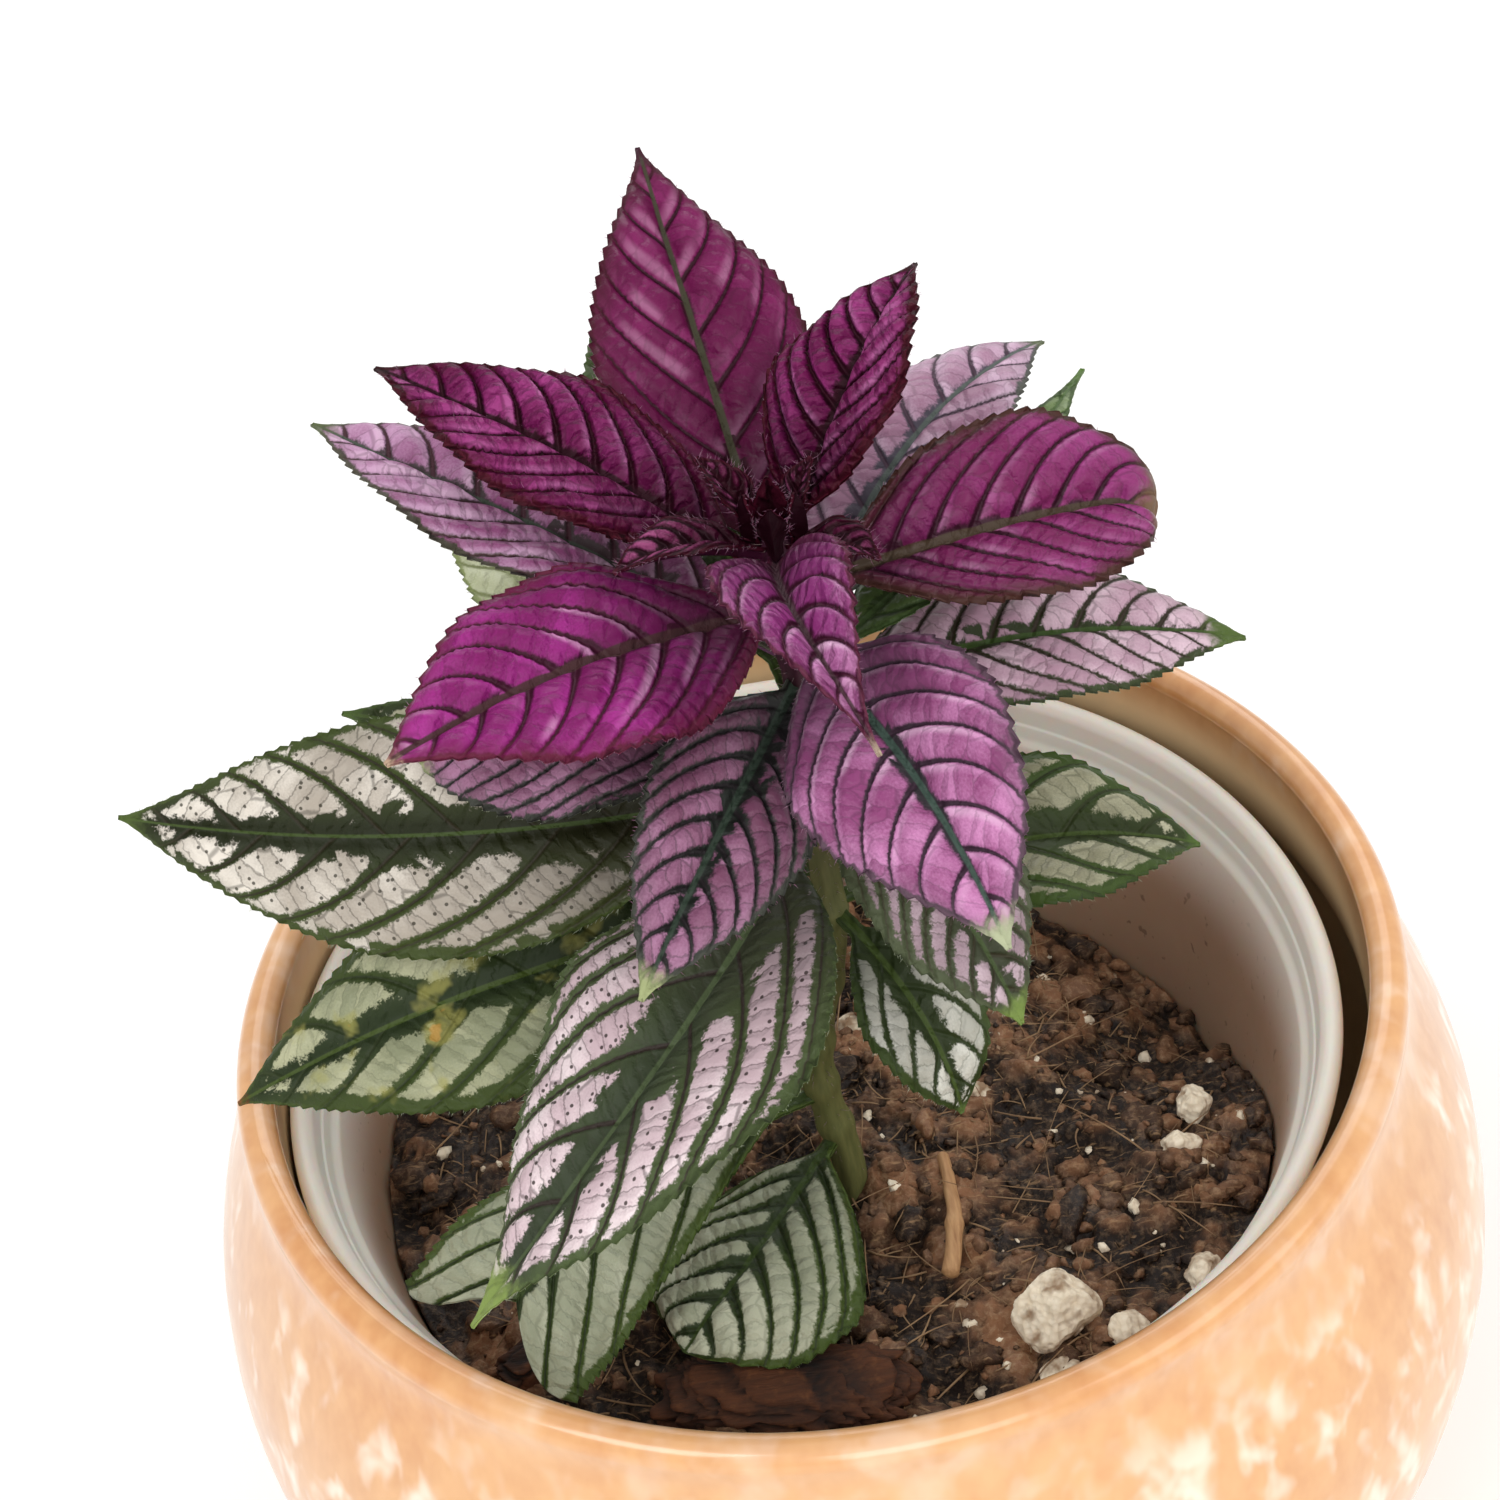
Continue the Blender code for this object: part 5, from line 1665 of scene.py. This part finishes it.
    def chips(self, q: np.ndarray, order: int) -> np.ndarray:
        """Perlite's broken faces and pits.

        Args:
            q: points of a unit ball.
            order: the grain's place in the list, which seeds its draw.

        Returns:
            How far each point stands out: to the nearest of 11 random flats, with noise, less pits.
        """
        draw = np.random.default_rng(order + 70)
        flats = draw.normal(0, 1, (11, 3))
        flats /= np.linalg.norm(flats, axis=1, keepdims=True)
        facing = np.clip(q @ flats.T, 0.05, None)
        chipped = np.minimum((draw.uniform(0.72, 0.98, 11) / facing).min(1), 1.08)
        pits = np.clip(noise(q * 4.5, order + 80), 0, 1)
        return chipped - 1 + 0.1 * noise(q * 2.2 + 3.0 * order, order + 70, 3) - 0.12 * pits

    def build_loose(self, white: bpy.types.Material) -> None:
        """The named grains of perlite and pieces of bark, each in its node's place.

        Args:
            white: the perlite's material.
        """
        bark = Bark().material
        for order, item in enumerate(LUMPS):
            is_bark = item.name.startswith("bark")
            shape, faces = ball(60, 90) if item.length > 6 else ball(34, 48)
            if is_bark:
                swelling = self.grooves(shape, item, order + 60)
            else:
                swelling = self.chips(shape, order)
            made = make_piece(item.name + "_rough", self.lump(item, shape, swelling), faces,
                              [bark if is_bark else white])
            if is_bark:
                # How deep in a groove each point lies, for the bark's painted shade
                store(made, "stand", np.clip((swelling + 0.17) / 0.2, 0, 1))
            settle(made, "bark" if is_bark else "perlite", item.name)

    def build_twig(self) -> None:
        """The pale broken twig, thicker at its near end, with a knot past its middle."""
        start, end = np.array(self.twig_start), np.array(self.twig_end)
        t = np.linspace(0, 1, 90)[:, None]
        line = start + (end - start) * t + np.array([0.7, 0, 0.3]) * np.sin(math.pi * t)
        crooked = [noise(t * 6 + 40 * k, 91 + k) for k in range(3)]
        line = line + 0.12 * np.stack(crooked, 1)
        sides = 20
        angle = np.linspace(0, 2 * math.pi, sides, endpoint=False)
        knot = 0.22 * np.exp(-((t - 0.62) / 0.05) ** 2)
        girth = 0.62 + 0.28 * t + knot + 0.05 * np.cos(3 * angle + 4 * t)
        ends = np.sqrt(np.clip(np.minimum(t, 1 - t) / 0.02, 0.15, 1))
        places, faces = sweep_tube(line, girth * ends, sides)
        settle(make_piece("twig_peeled", places, faces, [PeeledWood().material]), "twig", "twig")

    def build(self) -> None:
        """Build the soil, then the loose things on it."""
        peat, white = Peat().material, Perlite().material
        self.build_top(peat)
        self.build_loose(white)
        self.build_twig()
        self.build_fibres()
        self.build_grains("soil_clods", 210, 4, (2.2, 5.6), "soil", peat)
        self.build_grains("soil_grains", 900, 3, (0.5, 2.3), "soil", peat)
        self.build_grains("perlite_specks", 190, 9, (0.4, 1.7), "perlite", white)


# The two pots


class Polypropylene(Finish):
    """Milky polypropylene: light sinks in a little, satin skin, soil smears low down."""

    def __init__(self) -> None:
        """Smear and speck the wall near the soil, and less further up."""
        super().__init__("milky polypropylene", IOR=1.49, Subsurface_Weight=0.5,
                         Subsurface_Scale=0.004)
        place = self.add("TexCoord", out="Object")
        height = self.add("SeparateXYZ", (place,), out=2)
        smear = self.add("TexNoise", {"Vector": place, "Scale": cells(18), "Detail": 4.0,
                                      "Roughness": 0.65})
        level = self.add("MapRange", {0: height, 1: 0.077, 2: 0.087, 3: 0.55, 4: 0.0})
        dirty = self.add("Math", (smear, level), **TIMES)
        speck = self.add("TexNoise", {"Vector": place, "Scale": cells(1.4), "Detail": 2.0})
        crumbs = self.add("MapRange", {0: speck, 1: 0.66, 2: 0.72})
        crumbs = self.add("Math", (crumbs, level), **TIMES)
        near_soil = self.add("MapRange", (height, 0.077, 0.0915, 1.0, 0.0), **SMOOTH)
        wall = self.add("Mix", {0: near_soil, 6: linear("#F3E7DC"), 7: linear("#A88870")}, **COLOUR)
        clean = self.add("Mix", {0: dirty, 6: wall, 7: linear("#8A6C58")}, **COLOUR)
        colour = self.add("Mix", {0: crumbs, 6: clean, 7: linear("#4A3022")}, **COLOUR)
        bump = self.add("Bump", {"Strength": 0.15, "Distance": 0.1 * MM, "Height": speck})
        rough = self.add("MapRange", {0: smear, 1: 0.3, 2: 0.7, 3: 0.42, 4: 0.6})
        self.wear(Base_Color=colour, Roughness=rough, Normal=bump)


@dataclass
class NurseryPot:
    """Thin injection-moulded pot of milky polypropylene with a stepped rim band."""

    centre: tuple = (-1.1, -0.6)
    sides: int = 220
    profile: list = field(default_factory=lambda: [
        (0, 7.4), (33.5, 7.4), (35.3, 8.9), (50.17, 87.7), (51.0, 88.4), (51.35, 89.9),
        (51.62, 90.1), (51.9, 92.3), (52.5, 93.2), (53.2, 93.5), (53.9, 93.2), (54.2, 92.5),
        (54.0, 91.7), (53.2, 91.3), (52.2, 88.4), (51.4, 87.0), (36.0, 7.1), (35.2, 6.3), (0, 6.3)])

    def build(self) -> None:
        """Turn the profile, each corner rounded over 0.35 mm."""
        places, faces = turn_profile(soften(self.profile, 0.35, 4), self.sides)
        places[:, :2] += self.centre
        made = make_piece("nursery_pot_plastic", places, faces, [Polypropylene().material])
        settle(made, "pot_plastic", "nursery_pot")


class PeachGlaze(Finish):
    """Glossy peach glaze: cream mottles where it pooled, and a tan inside, painted lighter to stand
    in for light that reaches it.
    """

    def __init__(self) -> None:
        """Mottle the outside, lighten the inside as painted light, and leave the foot bare."""
        super().__init__("peach stoneware glaze", IOR=1.52, Coat_Weight=0.6, Coat_Roughness=0.08)
        place = self.add("TexCoord", out="Object")
        height = self.add("SeparateXYZ", (place,), out=2)
        warp = self.add("TexNoise", {"Vector": place, "Scale": cells(22), "Detail": 2.0})
        drip = self.add("Mapping", {"Vector": place, "Scale": (1, 1, 0.75)})
        blots = self.add("TexNoise", {"Vector": drip, "Scale": cells(4.35), "Detail": 2.0,
                                      "Distortion": 0.25})
        small = self.add("TexNoise", {"Vector": drip, "Scale": cells(2.4), "Detail": 2.0})
        sway = self.add("MapRange", {0: warp, 1: 0.35, 2: 0.65, 3: -0.07, 4: 0.07})
        patchy = self.add("Math", (blots, sway), **PLUS)
        mottle = self.add("MapRange", {0: patchy, 1: 0.48, 2: 0.76, 4: 0.72}, **SMOOTH)
        below = self.add("MapRange", {0: height, 1: 0.093, 2: 0.086}, **SMOOTH)
        full = self.add("MapRange", {0: below, 3: 0.3})
        mottle = self.add("Math", (mottle, full), **TIMES)
        fine = self.add("MapRange", {0: small, 1: 0.3, 2: 0.7})
        peach = self.add("Mix", {0: fine, 6: linear("#CE8D54"), 7: linear("#DCA168")}, **COLOUR)
        tone = self.add("MapRange", {0: warp, 1: 0.3, 2: 0.7})
        tone = self.add("Math", (tone, 0.5), **TIMES)
        peach = self.add("Mix", {0: tone, 6: peach, 7: linear("#EABE8C")}, **COLOUR)
        outer = self.add("Mix", {0: mottle, 6: peach, 7: linear("#FDF1E2")}, **COLOUR)
        # Painted light: the inner wall below the lip is paler, over the inside's own tan glaze
        within = self.add("Attribute", out=2, attribute_name="within")
        deep = self.add("MapRange", {0: height, 1: 0.099, 2: 0.09}, **SMOOTH)
        inside_glaze_and_light = self.add("Math", (within, deep), **TIMES)
        colour = self.add("Mix", {0: inside_glaze_and_light, 6: outer, 7: linear("#FEE2B2")}, **COLOUR)
        wander = self.add("Math", (warp, 0.003), **TIMES)
        foot = self.add("Math", (height, wander), **MINUS)
        foot = self.add("MapRange", (foot, 0.0028, 0.002), **SMOOTH)
        colour = self.add("Mix", {0: foot, 6: colour, 7: linear("#A4532F")}, **COLOUR)
        rough = self.add("MapRange", {0: foot, 3: 0.28, 4: 0.9})
        ripple = self.add("Math", (warp, self.add("Math", (blots, 0.25), **TIMES)), **PLUS)
        bump = self.add("Bump", {"Strength": 0.35, "Distance": 0.5 * MM, "Height": ripple})
        self.wear(Base_Color=colour, Roughness=rough, Normal=bump)


@dataclass
class Planter:
    """Thrown stoneware cover pot with a rolled lip, in a mottled peach glaze over reddish clay."""

    sides: int = 250
    floor: float = 6.0
    height: float = 100.0
    lip_radius: float = 57.45
    lip_roll: float = 1.85
    inside: list = field(default_factory=lambda: [
        (38, 6.3), (43, 10.5), (49.5, 20), (55.2, 32), (60.1, 44), (63.1, 55), (63.9, 68),
        (61.6, 79), (57.2, 85.5), (55.9, 90)])
    outside: list = field(default_factory=lambda: [
        (59.2, 96.2), (59.5, 94.6), (60.3, 92.4), (61.8, 89.4), (64.3, 84.2), (67.0, 77),
        (69.0, 66), (67.8, 54), (64.2, 42), (59.0, 30.5), (53.0, 19), (47.6, 9), (45.0, 3.4),
        (44.2, 1.2), (43.0, 0)])

    def build(self) -> None:
        """Turn the profile: inner wall, rolled lip as an arc, outer wall and foot."""
        a = np.radians(np.linspace(200, -10, 26))
        roll = [(self.lip_radius + self.lip_roll * math.cos(t),
                 self.height - self.lip_roll + self.lip_roll * math.sin(t)) for t in a]
        inner = soften([(0, self.floor)] + self.inside + roll[:1], 9.0, 7)
        outer = soften(roll[-1:] + self.outside + [(0, 0)], 9.0, 7)
        profile = np.concatenate([inner, roll[1:-1], outer])
        places, faces = turn_profile(profile, self.sides)
        angle = np.arctan2(places[:, 1], places[:, 0])
        ring = np.stack([np.cos(angle) * 1.5, np.sin(angle) * 1.5, places[:, 2] / 60], 1)
        uneven = 1 + 0.0022 * (noise(ring, 3, 2) - 1) * (places[:, 2] > 1)
        outside = np.array(roll[-1:] + self.outside)[::-1]
        depth = np.interp(places[:, 2], outside[:, 1], outside[:, 0]) - np.hypot(*places[:, :2].T)
        within = np.clip((depth - 1.4) / 1.2, 0, 1) * (places[:, 2] > self.floor - 2)
        places[:, :2] *= uneven[:, None]
        made = make_piece("planter_glazed", places, faces, [PeachGlaze().material])
        # How far inside the outer wall each point lies, for the glaze's painted light inside
        store(made, "within", within)
        settle(made, "glaze", "planter")


# The studio


class WhiteBoard(Finish):
    """Matt white board: even, with the faintest clouding."""

    def __init__(self) -> None:
        """Cloud the board over a hand's breadth."""
        super().__init__("white studio floor", Roughness=0.9)
        place = self.add("TexCoord", out="Object")
        grain = self.add("TexNoise", {"Vector": place, "Scale": cells(170)})
        colour = self.add("Mix", {0: grain, 6: linear("#F6F6F5"), 7: linear("#FBFBFA")}, **COLOUR)
        self.wear(Base_Color=colour)


@dataclass(frozen=True)
class Softbox:
    """A square white light: where it hangs and its side in metres, and its power in watts."""

    name: str
    place: tuple
    side: float
    watts: float


@dataclass
class Studio:
    """A plain pale floor, soft light and the camera at the photograph's angle."""

    camera_place: tuple = (-2.1, -160.0, 258.5)
    look_down: float = 39.5
    roll: float = -10.0
    focal: float = 52.8
    sensor: float = 36.0
    floor_size: float = 10.0
    sky: float = 0.74
    aim: tuple = (0, 0, 0.09)
    lights: tuple = (Softbox("key_softbox", (-1.2, -1.1, 2.1), 1.0, 18.0),
                     Softbox("fill_softbox", (1.6, -0.9, 1.6), 1.4, 12.5),
                     Softbox("front_softbox", (0.2, -2.1, 1.35), 1.2, 15.0),
                     Softbox("back_softbox", (0.3, 2.2, 1.6), 1.6, 16.0))

    def add_camera(self) -> None:
        """Put the camera where the photograph's lens was: looking along +Y, down and rolled."""
        down, roll = math.radians(self.look_down), math.radians(self.roll)
        ahead = Vector((0, math.cos(down), -math.sin(down)))
        right = Vector((1, 0, 0))
        up = right.cross(ahead)
        x = right * math.cos(roll) + up * math.sin(roll)
        y = up * math.cos(roll) - right * math.sin(roll)
        data = bpy.data.cameras.new("studio_camera")
        data.lens, data.sensor_width = self.focal, self.sensor
        data.clip_start = 0.01
        camera = bpy.data.objects.new("studio_camera", data)
        place = Vector(self.camera_place) * MM
        camera.matrix_world = Matrix.Translation(place) @ Matrix(
            (x, y, -ahead)).transposed().to_4x4()
        bpy.context.scene.collection.objects.link(camera)
        bpy.context.scene.camera = camera

    def add_light(self, box: Softbox) -> None:
        """Add a softbox that faces the plant.

        Args:
            box: its name, place, side and power.
        """
        data = bpy.data.lights.new(box.name, "AREA")
        data.shape, data.size, data.energy = "SQUARE", box.side, box.watts
        light = bpy.data.objects.new(box.name, data)
        light.location = box.place
        facing = Vector(self.aim) - Vector(box.place)
        light.rotation_euler = facing.to_track_quat("-Z", "Y").to_euler()
        bpy.context.scene.collection.objects.link(light)

    def add_floor(self) -> None:
        """Lay the floor: one flat sheet under the pot."""
        half = self.floor_size / 2 / MM
        places = np.array([[-half, -half, 0], [half, -half, 0], [half, half, 0], [-half, half, 0]])
        floor = make_piece("studio_floor", places, [np.array([[0, 1, 2, 3]])],
                           [WhiteBoard().material])

    def build(self) -> None:
        """Set up the camera, the lights, the world and the floor."""
        self.add_camera()
        self.add_floor()
        for box in self.lights:
            self.add_light(box)
        scene = bpy.context.scene
        world = bpy.data.worlds.new("soft_sky")
        world.use_nodes = True
        background = world.node_tree.nodes["Background"]
        background.inputs["Color"].default_value = linear("#FFFFFF")
        background.inputs["Strength"].default_value = self.sky
        scene.world = world
        scene.view_settings.view_transform = "Standard"
        scene.view_settings.exposure = 0.0


def main() -> None:
    """Build the studio, the pots, the soil and the plant."""
    logging.basicConfig(level=logging.INFO, format="%(message)s")
    for part in (Studio(), Planter(), NurseryPot(), Soil(), Stem(), Foliage()):
        part.build()
        LOG.info("built %s", type(part).__name__)


if __name__ == "__main__":
    main()
